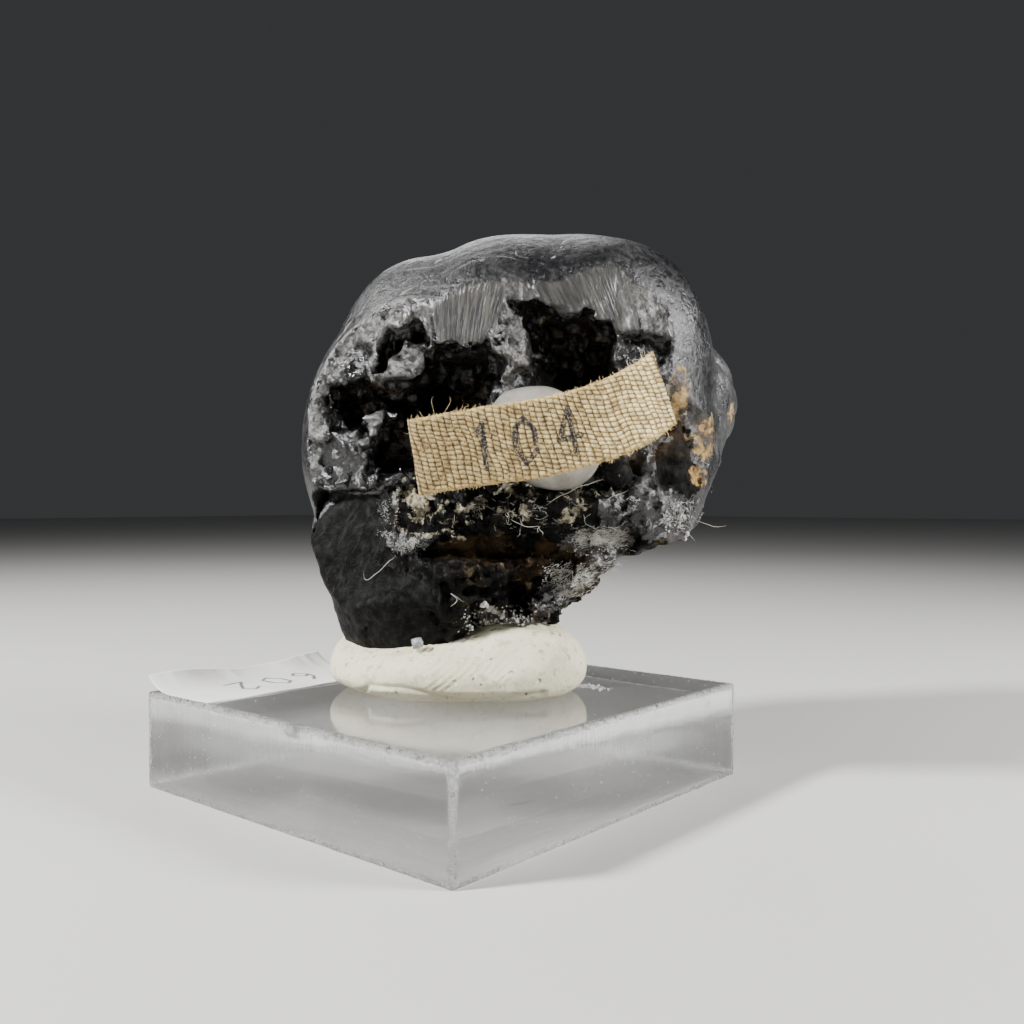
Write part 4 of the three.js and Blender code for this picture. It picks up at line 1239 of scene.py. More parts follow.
def seam_distance(p):
    """Distance from each point to the fine cracks in the skin, bent by noise; none behind the front."""
    x, y, z = p.T
    bent_x, bent_z = x + 0.2 * noise(p, 0.8, 95), z + 0.2 * noise(p, 0.8, 96)
    seam = np.minimum.reduce([line_distance(bent_x, bent_z, line) for line in SEAM_LINES])
    return seam + 0.12 * np.maximum(noise(p, 1.1, 97), -0.2) + 9 * (y > 6)


def band_spot(x, z, knots, half):
    """One on a broken line in x and z, falling to nothing a half width away."""
    return ramp(1.3 - line_distance(x, z, knots) / half)


def spot(p, middle, half):
    """One in the middle of an ellipsoid, falling to nothing at its edge."""
    q = (p - np.asarray(middle)) / np.asarray(half)
    return ramp(1.25 - np.sqrt((q * q).sum(-1)))


class SPECIMEN_OT_putty(Operator):
    """Press the putty lump round the nodule's foot"""
    bl_idname = "specimen.putty"
    bl_label = "Putty"

    def execute(self, context):
        grid, way = ray_surface(putty_field, PUTTY_MIDDLE, turns=480, rises=204, reach=20)
        grid = grid + way * finger_ridges(grid)[..., None]
        grid[..., 2] = np.maximum(grid[..., 2], PUTTY_UNDERSIDE)
        points, faces = closed_ball(grid)
        material = putty_material(context.scene.specimen_colours)
        piece = new_piece("putty_lump", to_row(points), faces, material)
        clean(piece)
        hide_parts("mounting_putty")
        return {"FINISHED"}


def putty_field(p):
    """Putty: lumps run together, flat on the block."""
    lumps = ellipsoid(p, PUTTY_LUMPS[0])
    for lump in PUTTY_LUMPS[1:]:
        lumps = join(lumps, ellipsoid(p, lump), 1.6)
    lumps = lumps + 0.14 * noise(p, 3.4, 111)
    return np.maximum(lumps, PUTTY_UNDERSIDE - p[:, 2])


def finger_ridges(grid):
    """Low fans of ridges that fingers left, and a fold along the front."""
    x, y, z = np.moveaxis(grid, -1, 0)
    fan = x * 0.8 - z * 0.9 + 0.6 * noise(grid, 3.0, 121)
    ridge = np.sin(fan * 2 * math.pi / RIDGE_PITCH)
    on_front = window(x, -4.0, 6.5, 1.5) * window(z, 9.3, 14.2, 0.9) * ramp((-2 - y) / 2)
    fold = line_distance(x, z, FOLD_LINE)
    flap = FLAP_HEIGHT * np.exp(-((fold - 0.55) / 0.4) ** 2) * ramp((10.3 - z) / 0.5)
    groove = flap - GROOVE_DEPTH * np.exp(-(fold / 0.2) ** 2)
    groove = groove * ramp((-2 - y) / 2) * ramp((z - 8.65) / 0.3)
    worn = 0.05 * noise(grid, 1.3, 123) + 0.03 * noise(grid, 0.6, 122)
    return RIDGE_HEIGHT * ridge * on_front * ramp(0.6 + noise(grid, 2.0, 124)) + groove + worn


class SPECIMEN_OT_block(Operator):
    """Cut the clear block, with sawn sides and a chipped edge"""
    bl_idname = "specimen.block"
    bl_label = "Clear block"

    def execute(self, context):
        points, faces, layers = block_shell(across=96, up=26)
        piece = new_piece("clear_block", points, faces, acrylic_material(), layers)
        clean(piece, SAME_EDGE)
        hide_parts("acrylic_block")
        return {"FINISHED"}


def block_shell(across, up):
    """Rounded box from six grids. A point of the plain box is pulled in to a smaller box, and put back
    at the bevel's radius from it; the sides are then made uneven by noise along the saw's way."""
    bevel = 0.22
    middle = (BLOCK_LOW + BLOCK_HIGH) / 2
    half = (BLOCK_HIGH - BLOCK_LOW) / 2
    points, faces, start = [], [], 0
    for axis in range(3):
        b, c = (axis + 1) % 3, (axis + 2) % 3
        count_b, count_c = (up if b == 2 else across), (up if c == 2 else across)
        place_b, place_c = spread(half[b], bevel, count_b), spread(half[c], bevel, count_c)
        for side in (-1, 1):
            cube = np.zeros((count_b, count_c, 3))
            cube[..., axis] = side * half[axis]
            cube[..., b] = place_b[:, None]
            cube[..., c] = place_c[None, :]
            inner = np.clip(cube, -(half - bevel), half - bevel)
            out = cube - inner
            out /= np.linalg.norm(out, axis=-1, keepdims=True) + 1e-9
            shaped = inner + bevel * out
            points.append((shaped + middle).reshape(-1, 3))
            ring = grid_faces(count_b, count_c)
            faces.append((ring if side > 0 else ring[:, ::-1]) + start)
            start += count_b * count_c
    points = np.concatenate(points)
    flat = points - middle
    sideways = np.maximum(np.abs(flat[:, 0]) / half[0], np.abs(flat[:, 1]) / half[1])
    side_share = ramp((sideways - 0.985) / 0.014)
    along = np.stack([flat[:, 0] * 0.5, flat[:, 1] * 0.5, flat[:, 2] * 0.03], -1)
    wave = 0.05 * noise(along, 1.1, 131) + 0.02 * noise(along * 4, 1.0, 132) - 0.05
    outward = flat[:, :2] / np.maximum(np.abs(flat[:, :2]).max(1), 1)[:, None]
    points[:, :2] += outward * (side_share * wave)[:, None]
    chip = spot(points, (1.9, -19.05, BLOCK_TOP), (1.0, 0.5, 0.5))
    points[:, 2] -= 0.22 * chip
    points[:, 1] += 0.2 * chip
    rims = (np.abs(flat) > half - 1.3 * bevel).sum(1) >= 2
    edge = np.maximum(rims.astype(float), ramp(1.6 * chip))
    return points, np.concatenate(faces), {"edge": edge}


def spread(half, bevel, count):
    """Places from one side to the other, with a few close together over each bevel."""
    edge = half - bevel * np.array([0, 0.25, 0.55, 1.0])
    inside = np.linspace(-(half - bevel), half - bevel, count - 6)
    return np.concatenate([-edge[:3], inside, edge[2::-1]])


class SPECIMEN_OT_strip(Operator):
    """Weave the cloth strip, write its number and fray its edges"""
    bl_idname = "specimen.strip"
    bl_label = "Cloth strip"

    def execute(self, context):
        colours = context.scene.specimen_colours
        points, faces, layers = woven_strip(context.scene.specimen_sizes.weave_height / MM)
        piece = new_piece("woven_strip", to_row(points), faces, cloth_material(colours), layers)
        clean(piece)
        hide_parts("cloth_strip")
        fray = edge_fray(context.scene.specimen_sizes.fray_count)
        fibres = new_piece("strip_fray", to_row(fray[0]), fray[1],
                           fibre_material("golden fibre", (0.85, 0.62, 0.28)))
        return {"FINISHED"}


def smooth_line(knots, count):
    """Even points on a curve through the knots: between two knots the place is the cubic of the four
    nearest ones, whose slope at a knot is half the way from the one before to the one after."""
    knots = np.asarray(knots, float)
    ends = np.concatenate([[2 * knots[0] - knots[1]], knots, [2 * knots[-1] - knots[-2]]])
    t = np.linspace(0, len(knots) - 1 - 1e-9, 40 * len(knots))
    i = t.astype(int)
    f = (t - i)[:, None]
    a, b, c, d = (ends[i + k] for k in range(4))
    line = 0.5 * (2 * b + (c - a) * f + (2 * a - 5 * b + 4 * c - d) * f ** 2
                  + (3 * b - a - 3 * c + d) * f ** 3)
    gone = np.concatenate([[0], np.cumsum(np.linalg.norm(np.diff(line, axis=0), axis=1))])
    even = np.linspace(0, gone[-1], count)
    return np.stack([np.interp(even, gone, line[:, k]) for k in range(3)], -1), gone[-1]


def strip_frame(count):
    """Middle line of the strip with the ways across its width and out of its front."""
    line, length = smooth_line(STRIP_LINE, count)
    way = np.gradient(line, axis=0)
    way /= np.linalg.norm(way, axis=1, keepdims=True)
    front = np.cross(way, (0.0, 0.0, 1.0))
    front /= np.linalg.norm(front, axis=1, keepdims=True)
    up = np.cross(front, way)
    return line, up, front, length


def weave(along, across):
    """Height of the weave from 0 to 1, and the tone of each stitch. Round ribs stand across the strip,
    and in each a row of slanted stitches rises and falls, out of step with the next rib; thin picks
    show between them."""
    i, j = along / RIB_PITCH, across / PICK_PITCH
    column = np.floor(i)
    start = hashed(np.stack([column, 0 * column, 0 * column], -1), 144)
    row = j + 0.5 * (column % 2) + 0.3 * start + 0.45 * (i - column)
    rib = np.sqrt(np.clip(1 - (2 * (i - column) - 1) ** 4, 0, 1))
    stitch = np.sqrt(np.clip(1 - (2 * (row - np.floor(row)) - 1) ** 2, 0, 1))
    pick = 0.3 * np.sqrt(np.clip(1 - (2 * (j - np.floor(j)) - 1) ** 2, 0, 1))
    tone = hashed(np.stack([column, np.floor(row), 0 * row], -1), 145)
    return np.clip(np.maximum(rib * (0.15 + 0.85 * stitch), pick), 0, 1), tone


def woven_strip(height):
    """Strip as a section carried along its line: across the front, round the edge, back across the
    rear and round again. The front and rear stand out by the weave's height."""
    count, wide = 440, 112
    line, up, front, length = strip_frame(count)
    along = np.linspace(0, length, count)[:, None]
    t = np.linspace(-1, 1, wide)
    section_w = np.concatenate([t, t[::-1]]) * STRIP_WIDTH / 2
    side = np.concatenate([np.ones(wide), -np.ones(wide)])
    section_w = section_w[None, :] + 0 * along
    side = side[None, :] + 0 * along
    across = section_w + 0.10 * np.sin(along * 0.9) + 0.05 * np.sin(along * 2.3)
    flat = np.stack([along + 0 * section_w, across, side], -1)
    bend = 0.20 * noise(flat * (1, 1, 0), 2.3, 141) + 0.07 * noise(flat, 0.7, 146)
    slant = along + 0.10 * across + bend
    thread, tone = weave(slant, across + 0.16 * noise(flat, 1.3, 142))
    thread = thread * (0.76 + 0.24 * tone) * (0.9 + 0.25 * noise(flat, 0.5, 147))
    thin = np.minimum(1, (STRIP_WIDTH / 2 - np.abs(section_w)) / 0.25)
    ends = np.minimum(1, np.minimum(along, length - along) / 0.25)
    body = STRIP_THICKNESS / 2 * np.sqrt(np.clip(thin, 0.02, 1)) * np.sqrt(np.clip(ends, 0.02, 1))
    lift = body + height * (thread - 0.6) * np.clip(thin * 3, 0, 1)
    near_edge = np.abs(section_w) > STRIP_WIDTH / 2 - 0.3
    wavy = 0.09 * noise(flat * (1, 0, 1), 0.8, 143) * near_edge * np.sign(section_w)
    points = (line[:, None] + up[:, None] * (section_w + wavy)[..., None]
              + front[:, None] * (side * lift)[..., None])
    ink = number_ink(along, section_w, *STRIP_FIGURES) * (side > 0)
    edge = ramp((np.abs(section_w) - 2.7) / 0.4)
    # Painted shade: the tone darkens the strip towards its left end, over each stitch's own chance tone.
    tone = np.clip(0.75 * tone + 0.75 - 1.3 * along / length, 0, 1)
    layers = {"thread": thread.ravel(), "ink": ink.ravel(), "edge": edge.ravel(), "tone": tone.ravel()}
    grid_f = grid_faces(count, 2 * wide, rings=True)
    cap = np.arange(wide - 1)
    first = np.stack([cap, cap + 1, 2 * wide - 2 - cap, 2 * wide - 1 - cap], -1)
    last = first[:, ::-1] + (count - 1) * 2 * wide
    return points.reshape(-1, 3), np.concatenate([grid_f[:, ::-1], first, last]), layers


# Strokes of the figures in a square from 0 to 1: lines from one place to the next
FIGURES = {
    "0": (((0.5, 1.0), (0.15, 0.8), (0.1, 0.4), (0.4, 0.0), (0.8, 0.2), (0.85, 0.7), (0.5, 1.0)),),
    "1": (((0.35, 0.8), (0.55, 1.0), (0.5, 0.0)),),
    "2": (((0.15, 0.8), (0.5, 1.0), (0.8, 0.75), (0.5, 0.4), (0.1, 0.0), (0.9, 0.05)),),
    "4": (((0.6, 0.0), (0.65, 1.0), (0.1, 0.35), (0.9, 0.35)),),
    "6": (((0.7, 1.0), (0.25, 0.6), (0.15, 0.2), (0.5, 0.0), (0.8, 0.25), (0.5, 0.5), (0.2, 0.3)),),
}


def number_ink(along, across, starts, figures, size, width):
    """Ink from 0 to 1 at each place: one within half the pen's width of the nearest stroke."""
    along, across = along + 0 * across, across + 0 * along
    best = np.full(along.shape, 9.0)
    for start, figure in zip(starts, figures):
        for stroke in FIGURES[figure]:
            knots = np.asarray(stroke) * (size * 0.62, size) + (start - size * 0.31, -size / 2)
            best = np.minimum(best, line_distance(along, across, knots))
    return ramp((width + 0.12 - best) / 0.12)


def edge_fray(count):
    """Loose fibres at the strip's long edges: short curves that start in the edge and lean outwards,
    a few longer curls near its upper left end, and short fuzz that lies on its front."""
    random = np.random.default_rng(7)
    line, up, front, _ = strip_frame(400)
    way = np.gradient(line, axis=0)
    way /= np.linalg.norm(way, axis=1, keepdims=True)
    curls, fuzz = 14, 2200
    at = np.concatenate([random.integers(2, 398, count), random.integers(4, 190, curls)])
    side = np.concatenate([np.where(random.random(count) < 0.65, 1.0, -1.0), np.ones(curls)])
    reach = np.concatenate([0.05 + random.gamma(2.0, 0.06, count), random.uniform(0.3, 0.8, curls)])
    lean = random.normal(0, 0.9, count + curls)
    out = random.normal(0.1, 0.5, count + curls)
    base = line[at] + up[at] * (side * (STRIP_WIDTH / 2 - 0.10))[:, None]
    aim = up[at] * side[:, None] + way[at] * lean[:, None] + front[at] * out[:, None]
    aim /= np.linalg.norm(aim, axis=1, keepdims=True)
    bend = np.where(np.arange(count + curls) < count, 0.5, 1.3)
    radii = np.where(np.arange(count + curls) < count, random.uniform(0.010, 0.022, count + curls), 0.012)
    edge = tubes(loose_paths(base, aim, reach, bend, random), radii)
    at = random.integers(4, 396, fuzz)
    across = random.uniform(-0.5, 0.5, fuzz) * STRIP_WIDTH * 0.97
    base = line[at] + up[at] * across[:, None] + front[at] * (STRIP_THICKNESS / 2 + 0.03)
    aim = way[at] * random.normal(0, 1, (fuzz, 1)) + up[at] * random.normal(0, 1, (fuzz, 1))
    aim = aim / np.linalg.norm(aim, axis=1, keepdims=True) + front[at] * random.uniform(0, 0.35, (fuzz, 1))
    paths = loose_paths(base, aim, random.uniform(0.15, 0.5, fuzz), np.full(fuzz, 0.45), random, 6)
    loose = tubes(paths, random.uniform(0.006, 0.012, fuzz))
    return np.concatenate([edge[0], loose[0]]), np.concatenate([edge[1], loose[1] + len(edge[0])])


def loose_paths(places, ways, lengths, bend, random, knots=10):
    """Paths of loose fibres: straight ways out, turned aside by a random pull that grows with the
    square of the length, and by a wave."""
    t = np.linspace(0, 1, knots)
    count = len(places)
    pull = np.clip(random.normal(0, 0.8, (count, 1, 3)), -1, 1) * (lengths * bend)[:, None, None]
    pull = pull * (t ** 2)[:, None]
    phase = random.uniform(0, 6.3, (count, 1, 3))
    wave = np.sin(phase + t[:, None] * 7.0) - np.sin(phase)
    wave = wave * (0.16 * lengths * bend)[:, None, None]
    return places[:, None] + ways[:, None] * (lengths[:, None] * t)[..., None] + pull + wave


class SPECIMEN_OT_glue(Operator):
    """Set the drop of glue between the strip and the rock"""
    bl_idname = "specimen.glue"
    bl_label = "Glue"

    def execute(self, context):
        grid, _ = ray_surface(glue_field, GLUE_MIDDLE, turns=160, rises=100, reach=9)
        points, faces = closed_ball(grid)
        piece = new_piece("glue_drop", to_row(points), faces, glue_material())
        clean(piece)
        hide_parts("glue_dab")
        return {"FINISHED"}


def glue_field(p):
    """Glue: an ellipsoid, flat against the strip's back."""
    along = p[:, 0] - 3.3
    strip = -8.8 - 0.1 * along - 0.006 * along ** 2
    leaning = p + (0.24, 0, 0) * (p[:, 2:] - GLUE[0][2])
    drop = ellipsoid(leaning, GLUE) + 0.18 * noise(p, 2.4, 151)
    return overlap(drop, strip + STRIP_THICKNESS / 2 - p[:, 1], 0.3)


class SPECIMEN_OT_sticker(Operator):
    """Lay the paper sticker on the block's corner"""
    bl_idname = "specimen.sticker"
    bl_label = "Paper sticker"

    def execute(self, context):
        points, faces, layers = paper_sheet()
        material = paper_material(context.scene.specimen_colours)
        piece = new_piece("paper_label", points, faces, material, layers)
        clean(piece)
        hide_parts("paper_sticker")
        return {"FINISHED"}


def paper_sheet():
    """Paper as a function of its length and width: flat, its outer edge curling up as the square of
    the way past the fold, with wavy torn edges; front and back are the same sheet a thickness apart."""
    rows, columns = 150, 90
    u = np.linspace(0, 1, rows)[:, None]
    v = np.linspace(0, 1, columns)[None, :]
    flat = np.stack([u * STICKER_LENGTH + 0 * v, v * STICKER_WIDTH + 0 * u, 0 * u * v], -1)
    ragged = 0.28 * noise(flat * (1, 0, 0), 3.0, 161) + 0.10 * noise(flat * (1, 0, 0), 0.7, 162)
    x = STICKER_INNER_X - v * (STICKER_WIDTH - 0.35) + ragged * v
    slanted = 0.5 * (u - 0.5) * (1 - v)
    y = STICKER_MIDDLE_Y + (u - 0.5) * STICKER_LENGTH * (0.985 - 0.01 * v)
    y = y + 0.15 * noise(flat, 4, 163) * (np.abs(u - 0.5) > 0.45)
    rise = np.clip((v - 0.62) / 0.38, 0, 1)
    curl = (1.05 + 0.35 * np.sin(u * 7 + 0.6)) * rise ** 2
    z = BLOCK_TOP + 0.06 + curl + 0.05 * (1 + noise(flat, 3.2, 164))
    x = x + slanted
    sheet = np.stack([x + 0 * z, y + 0 * z, z], -1)
    back = sheet - (0, 0, STICKER_THICKNESS)
    ink = number_ink(STICKER_LENGTH - flat[..., 0], STICKER_WIDTH / 2 - 0.3 - flat[..., 1],
                     *STICKER_FIGURES)
    points = np.concatenate([sheet.reshape(-1, 3), back.reshape(-1, 3)])
    one = grid_faces(rows, columns)
    size = rows * columns
    rim = np.concatenate([np.arange(columns), np.arange(2, rows + 1) * columns - 1,
                          (rows - 1) * columns + np.arange(columns - 2, -1, -1),
                          np.arange(rows - 2, 0, -1) * columns])
    nxt = np.roll(rim, -1)
    wall = np.stack([rim, nxt, nxt + size, rim + size], -1)
    faces = np.concatenate([one, one[:, ::-1] + size, wall])
    return points, faces, {"ink": np.concatenate([ink.ravel(), 0 * ink.ravel()])}


class SPECIMEN_OT_grains(Operator):
    """Strew crusts, crumbs and needles over the broken side"""
    bl_idname = "specimen.grains"
    bl_label = "Grains and needles"

    def execute(self, context):
        random = np.random.default_rng(11)
        piles = (
            ("tan_grains", "earthy tan", (0.44, 0.29, 0.12), 0.9, [
                stone_spots("rust", 0.44, 900, random), random.uniform(0.02, 0.07, 900)]),
            ("cream_grains", "cream crust", (0.50, 0.45, 0.32), 0.85, [
                stone_spots("crust", 0.46, 700, random), random.uniform(0.02, 0.09, 700)]),
            ("pale_grains", "pale crystals", (0.60, 0.59, 0.56), 0.45, pale_piles(random)),
        )
        for name, words, value, roughness, (places, sizes) in piles:
            points, faces = grains(places, sizes, random)
            piece = new_piece(name, to_row(points), faces, crumb_material(words, value, roughness),
                              smooth=False)
        points, faces = needles(random)
        piece = new_piece("pale_needles", to_row(points), faces,
                          fibre_material("pale needle crystals", (0.72, 0.70, 0.62)))
        points, faces = grains(np.array([(-2.2, -6.2, 13.5)]), np.array([0.7]), random)
        crumb = new_piece("clear_crumb", to_row(points), faces,
                          crumb_material("clear crumb", (0.42, 0.44, 0.46), 0.15))
        return {"FINISHED"}


def from_row(p):
    """Points of the row's axes in the specimen's own axes."""
    turn = bpy.context.scene.specimen_sizes.face_turn
    c, s = math.cos(turn), math.sin(turn)
    return np.stack([p[..., 0] * c + p[..., 1] * s, p[..., 1] * c - p[..., 0] * s, p[..., 2]], -1)


def stone_spots(layer, least, count, random):
    """Chance places on the nodule's surface where one of its painted values is at least so high."""
    mesh = bpy.data.objects["nodule_stone"].data
    places = np.empty(len(mesh.vertices) * 3, np.float32)
    mesh.vertices.foreach_get("co", places)
    values = np.empty(len(mesh.vertices), np.float32)
    mesh.attributes[layer].data.foreach_get("value", values)
    fit = np.flatnonzero(values > least)
    chosen = random.choice(fit, count, replace=len(fit) < count)
    return from_row(places.reshape(-1, 3)[chosen] / MM) + random.normal(0, 0.05, (count, 3))


def nodule_front(x, z):
    """Places on the nodule's front at the given x and z: each starts before it and goes in by the
    field's own distance until it is met."""
    p = np.stack([x, np.full(x.shape, -11.5), z], -1)
    for _ in range(50):
        p[:, 1] += np.clip(nodule_field(p)[0] * 0.7, -0.2, 0.6)
    return p


def scatter(low, high, count, random):
    """Chance places on the nodule's front between two corners given as x and z, denser in the middle."""
    share = (random.random((count, 2)) + random.random((count, 2))) / 2
    x = low[0] + (high[0] - low[0]) * share[:, 0]
    z = low[1] + (high[1] - low[1]) * share[:, 1]
    return nodule_front(x, z)


# Piles of pale crumbs: two corners as x and z, how many, and the least and most size
CRUMB_PILES = (
    ((-4.8, 21.0), (-1.0, 22.9), 650, 0.02, 0.06),
    ((-6.0, 22.4), (-4.0, 23.2), 90, 0.02, 0.06),
    ((-6.0, 23.6), (-4.4, 26.0), 220, 0.02, 0.05),
    ((18.8, 22.8), (22.2, 26.2), 150, 0.03, 0.16),
    ((10.0, 20.8), (16.4, 23.4), 260, 0.02, 0.10),
    ((0.6, 13.2), (8.6, 16.8), 420, 0.03, 0.15),
    ((8.0, 16.4), (12.6, 20.6), 420, 0.03, 0.12),
)
CHUNK_COUNT = 7
DUST_COUNT = 300
# Two larger crystals: their x, their z and their sizes
CORNER_CRYSTALS = np.array([(21.6, 21.6), (22.3, 22.7), (0.42, 0.36)])
# Patches of needles: two corners as x and z, how many, their way, least and most length, radius, and
# how far their ways spread
NEEDLE_PATCHES = (
    ((10.6, 21.2), (16.4, 23.6), 900, (0.9, -0.05, 0.25), 0.2, 0.8, 0.013, 0.30),
    ((8.4, 16.6), (13.2, 20.2), 700, (0.8, -0.05, 0.5), 0.3, 0.9, 0.015, 0.30),
    ((12.5, 18.6), (16.2, 20.6), 120, (0.9, -0.2, 0.2), 0.3, 1.2, 0.013, 0.5),
    ((18.8, 22.8), (22.2, 26.0), 90, (0.2, -0.4, 0.1), 0.3, 1.1, 0.014, 0.9),
    ((2.0, 13.2), (9.0, 16.8), 70, (0.3, -0.4, 0.2), 0.3, 0.9, 0.013, 0.8),
    ((-2.0, 23.2), (14.0, 26.5), 70, (0.4, -0.3, -0.2), 0.4, 1.5, 0.012, 0.8),
)


def pale_piles(random):
    """Pale crystals and crumbs: the piles, a row of larger chunks over the putty, two crystals at the
    lower right corner, and dust on all the broken side."""
    t = np.linspace(0, 1, CHUNK_COUNT)
    chunks = nodule_front(3.5 + 1.7 * t, 16.8 - 1.3 * t) + (0, -0.1, 0)
    groups = [(scatter(low, high, count, random), random.uniform(least, most, count))
              for low, high, count, least, most in CRUMB_PILES]
    groups += [
        (chunks, random.uniform(0.35, 0.6, CHUNK_COUNT)),
        (nodule_front(*CORNER_CRYSTALS[:2]), CORNER_CRYSTALS[2]),
        (stone_spots("broken", 0.9, DUST_COUNT, random), random.uniform(0.010, 0.03, DUST_COUNT)),
    ]
    return [np.concatenate([group[k] for group in groups]) for k in (0, 1)]


def needles(random):
    """Pale needles and strands on the stepped layers, which rise to the right."""
    patches = [scatter(low, high, count, random) for low, high, count, *_ in NEEDLE_PATCHES]
    paths, radii = [], []
    for places, (*_, way, short, long, radius, spread_out) in zip(patches, NEEDLE_PATCHES):
        ways = np.array(way) + random.normal(0, spread_out, places.shape)
        ways[:, 1] = -np.abs(ways[:, 1])
        ways /= np.linalg.norm(ways, axis=1, keepdims=True)
        lengths = random.uniform(short, long, len(places))
        paths.append(loose_paths(places, ways, lengths, np.full(len(places), 0.5 * spread_out), random, 7))
        radii.append(np.full(len(places), radius) * random.uniform(0.6, 1.2, len(places)))
    return tubes(np.concatenate(paths), np.concatenate(radii))


def grain_shape():
    """Points and faces of a ball: the six points and eight sides of an octahedron, each side parted in
    four and pushed out to the ball."""
    tips = np.array([(1, 0, 0), (-1, 0, 0), (0, 1, 0), (0, -1, 0), (0, 0, 1), (0, 0, -1)], float)
    corners = {tuple(tip): k for k, tip in enumerate(tips)}
    faces = []

    def number(point):
        point = tuple(point / np.linalg.norm(point))
        return corners.setdefault(point, len(corners))

    for a in (0, 1):
        for b in (2, 3):
            for c in (4, 5):
                ring = (a, b, c) if (a + b + c) % 2 == 0 else (a, c, b)
                one, two, three = (tips[k] for k in ring)
                mids = [number(one + two), number(two + three), number(three + one)]
                faces += [(ring[0], mids[0], mids[2]), (ring[1], mids[1], mids[0]),
                          (ring[2], mids[2], mids[1]), (mids[0], mids[1], mids[2])]
    return np.array(list(corners)), np.array(faces)


def grains(places, sizes, random):
    """Uneven crumbs at the places: one small ball, with each crumb's points pushed in or out, stretched
    along three axes and turned by chance."""
    ball, ball_faces = grain_shape()
    count = len(places)
    shape = ball[None] * (1 + random.uniform(-0.25, 0.25, (count, len(ball), 1)))
    shape = shape * (sizes[:, None] * random.uniform(0.45, 1.0, (count, 3)))[:, None]
    turn = np.linalg.qr(random.normal(0, 1, (count, 3, 3)))[0]
    turn[:, :, 0] *= np.sign(np.linalg.det(turn))[:, None]
    points = places[:, None] + shape @ turn.transpose(0, 2, 1)
    faces = ball_faces[None] + (np.arange(count) * len(ball))[:, None, None]
    return points.reshape(-1, 3), faces.reshape(-1, 3)


class SPECIMEN_OT_lint(Operator):
    """Lay lint threads on the rock and dust on the block"""
    bl_idname = "specimen.lint"
    bl_label = "Lint and dust"

    def execute(self, context):
        threads = lint_threads()
        lint = new_piece("lint_threads", to_row(threads[0]), threads[1],
                         fibre_material("pale lint", (0.62, 0.58, 0.48)))
        points, faces = block_dust()
        dust = new_piece("block_dust", points, faces, crumb_material("white dust", (0.80, 0.80, 0.78), 0.8),
                         smooth=False)
        return {"FINISHED"}


# Lint: places that each thread passes, in the specimen's axes
THREADS = (
    ((-6.9, -5.6, 19.6), (-6.5, -5.9, 18.9), (-5.2, -6.4, 19.9), (-3.9, -6.9, 21.1)),
    ((5.2, -6.9, 24.7), (6.3, -7.4, 23.9), (7.3, -7.3, 23.5), (9.0, -7.0, 23.8)),
    ((21.4, -1.8, 23.9), (22.8, -2.2, 23.8), (24.3, -1.5, 23.4), (25.4, -1.0, 23.4)),
    ((13.9, -6.5, 27.6), (12.0, -7.0, 27.0), (10.2, -7.2, 26.2), (8.6, -7.2, 25.2)),
    ((12.8, -5.6, 24.4), (13.6, -5.9, 25.2), (14.4, -6.2, 26.0), (16.0, -5.6, 26.6)),
    ((0.6, -6.2, 16.6), (1.2, -6.6, 17.3), (0.8, -7.0, 17.8), (2.0, -6.8, 17.0)),
)


def lint_threads():
    """Threads along smooth lines through their knots, with slight kinks from noise."""
    paths = np.stack([smooth_line(knots, 40)[0] for knots in THREADS])
    wave = 0.10 * np.stack([noise(paths, 0.9, 171 + k) for k in range(3)], -1)
    return tubes(paths + wave, np.full(len(paths), 0.020), 4)


def block_dust():
    """Specks of dust on the block's top and sides, and a white smear behind the putty."""
    random = np.random.default_rng(23)
    on_top, on_sides, in_smear = 420, 520, 90
    half = (BLOCK_HIGH - BLOCK_LOW)[:2] / 2 - 0.6
    top = np.concatenate([random.uniform(-1, 1, (on_top, 2)) * half, np.full((on_top, 1), BLOCK_TOP)], 1)
    along = random.uniform(-half[0], half[0], on_sides)
    height = BLOCK_TOP * random.random(on_sides)
    flat = np.arange(on_sides) % 2 == 0
    side = np.stack([np.where(flat, BLOCK_HIGH[0], along), np.where(flat, along, BLOCK_LOW[1]), height], -1)
    smear = np.stack([9.8 + random.normal(0, 0.9, in_smear), 8.7 + random.normal(0, 0.35, in_smear),
                      np.full(in_smear, BLOCK_TOP)], -1)
    sizes = np.concatenate([random.uniform(0.02, 0.07, on_top + on_sides),
                            random.uniform(0.05, 0.20, in_smear)])
    places = np.concatenate([top, side, smear])
    return grains(places, sizes, random)


# Lights: name, place and size in metres, and power in watts; all look at one place
LIGHTS = (
    ("key", (-0.130, -0.238, 0.21), 0.05, 3.1),
    ("rim", (-0.16, 0.14, 0.22), 0.16, 0.22),
    ("side", (0.20, 0.10, 0.12), 0.08, 1.1),
)
LIT_PLACE = (0.0, 0.0, 0.03)
AIR_COLOUR = (0.80, 0.82, 0.85, 1)
AIR_STRENGTH = 0.05
# Camera: place in metres, and its dip and turn in degrees
CAMERA_PLACE = (0.06524, -0.06697, 0.02565)
CAMERA_DIP = 0.59
CAMERA_TURN = 40.602
FLOOR_SIDE = 3.0


class SPECIMEN_OT_stage(Operator):
    """Set the pale floor, the soft lights and the camera"""
    bl_idname = "specimen.stage"
    bl_label = "Stage"

    def execute(self, context):
        make_floor(context.scene.specimen_colours)
        make_world()
        for light in LIGHTS:
            soft_light(*light)
        make_camera(context.scene.specimen_sizes.camera_lens)
        return {"FINISHED"}


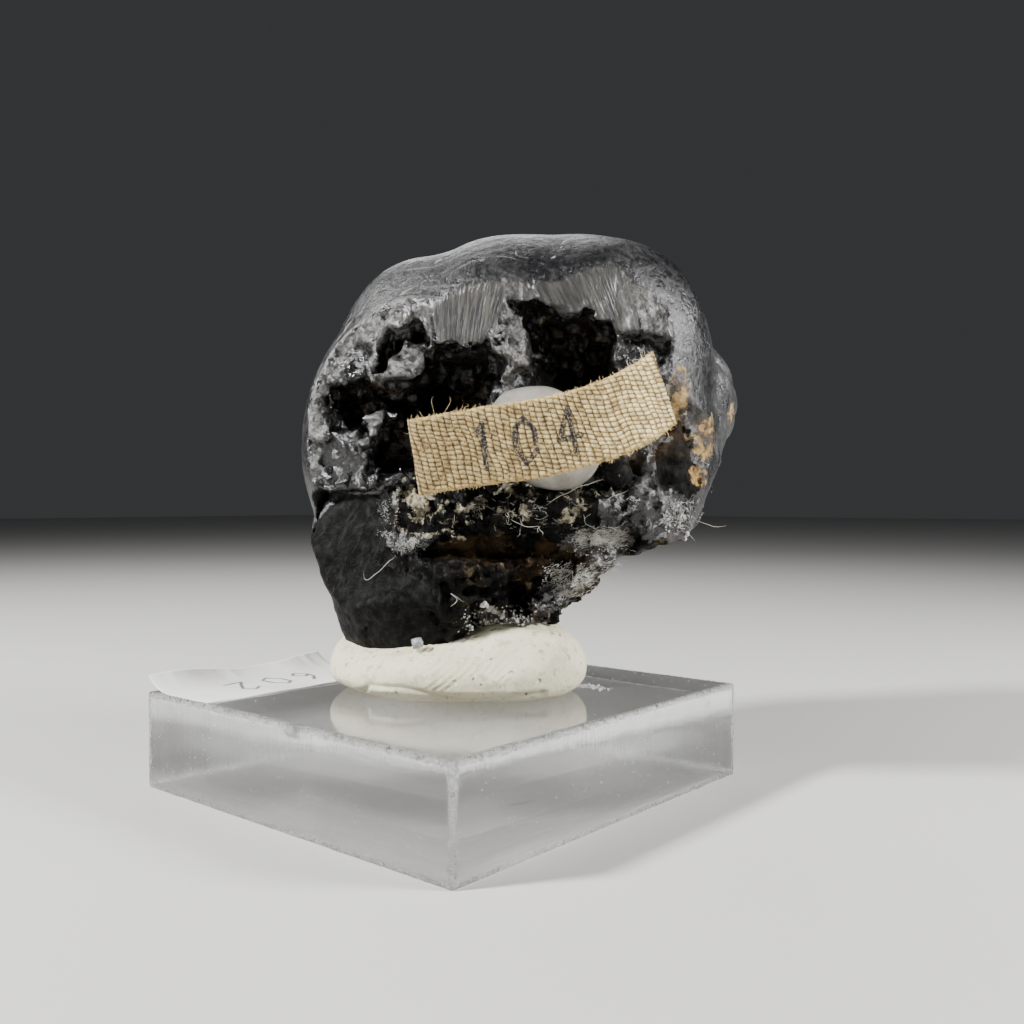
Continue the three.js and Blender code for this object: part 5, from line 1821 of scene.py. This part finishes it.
def make_floor(colours):
    paint = Paint("pale floor")
    tint = paint.mix(paint.spots(30, 3), tuple(colours.floor), tuple(0.96 * v for v in colours.floor))
    paint.base(Base_Color=tint, Roughness=0.6)
    half = FLOOR_SIDE / 2
    points = np.array([(-half, -half, 0), (half, -half, 0), (half, half, 0), (-half, half, 0)])
    mesh = bpy.data.meshes.new("floor")
    mesh.from_pydata(points.tolist(), [], [(0, 1, 2, 3)])
    mesh.materials.append(paint.material)
    floor = bpy.data.objects.new("floor", mesh)
    bpy.context.scene.collection.objects.link(floor)


def make_world():
    world = bpy.data.worlds.new("studio")
    world.use_nodes = True
    air = world.node_tree.nodes["Background"].inputs
    air["Color"].default_value = AIR_COLOUR
    air["Strength"].default_value = AIR_STRENGTH
    bpy.context.scene.world = world


def soft_light(name, place, size, power):
    light = bpy.data.lights.new(name, "AREA")
    light.shape = "DISK"
    light.size = size
    light.energy = power
    lamp = bpy.data.objects.new(name, light)
    lamp.location = place
    way = np.array(LIT_PLACE) - np.array(place)
    tilt = math.atan2(np.hypot(way[0], way[1]), -way[2])
    lamp.rotation_euler = (tilt, 0, math.atan2(way[0], -way[1]) + math.pi)
    bpy.context.scene.collection.objects.link(lamp)


def make_camera(lens):
    camera = bpy.data.cameras.new("camera")
    camera.lens = lens
    camera.sensor_width = 36
    camera.clip_start = 0.005
    camera.clip_end = 10
    place = bpy.data.objects.new("camera", camera)
    place.location = CAMERA_PLACE
    place.rotation_euler = (math.radians(90 - CAMERA_DIP), 0, math.radians(CAMERA_TURN))
    bpy.context.scene.collection.objects.link(place)
    bpy.context.scene.camera = place


class SPECIMEN_PT_sidebar(Panel):
    bl_label = "Cassiterite specimen"
    bl_idname = "SPECIMEN_PT_sidebar"
    bl_space_type = "VIEW_3D"
    bl_region_type = "UI"
    bl_category = "Specimen"

    def draw(self, context):
        layout = self.layout
        for operator in OPERATORS:
            layout.operator(operator.bl_idname)
        for group in (context.scene.specimen_sizes, context.scene.specimen_colours):
            for name in group.__annotations__:
                layout.prop(group, name)


OPERATORS = (SPECIMEN_OT_stage, SPECIMEN_OT_nodule, SPECIMEN_OT_grains, SPECIMEN_OT_putty,
             SPECIMEN_OT_block, SPECIMEN_OT_strip, SPECIMEN_OT_glue, SPECIMEN_OT_sticker,
             SPECIMEN_OT_lint)
CLASSES = (SpecimenSizes, SpecimenColours, *OPERATORS, SPECIMEN_PT_sidebar)


def register():
    for cls in CLASSES:
        bpy.utils.register_class(cls)
    bpy.types.Scene.specimen_sizes = PointerProperty(type=SpecimenSizes)
    bpy.types.Scene.specimen_colours = PointerProperty(type=SpecimenColours)


def unregister():
    del bpy.types.Scene.specimen_colours
    del bpy.types.Scene.specimen_sizes
    for cls in reversed(CLASSES):
        bpy.utils.unregister_class(cls)


def main():
    register()
    bpy.ops.specimen.stage()
    bpy.ops.specimen.nodule()
    bpy.ops.specimen.grains()
    bpy.ops.specimen.putty()
    bpy.ops.specimen.block()
    bpy.ops.specimen.strip()
    bpy.ops.specimen.glue()
    bpy.ops.specimen.sticker()
    bpy.ops.specimen.lint()


if __name__ == "__main__":
    main()
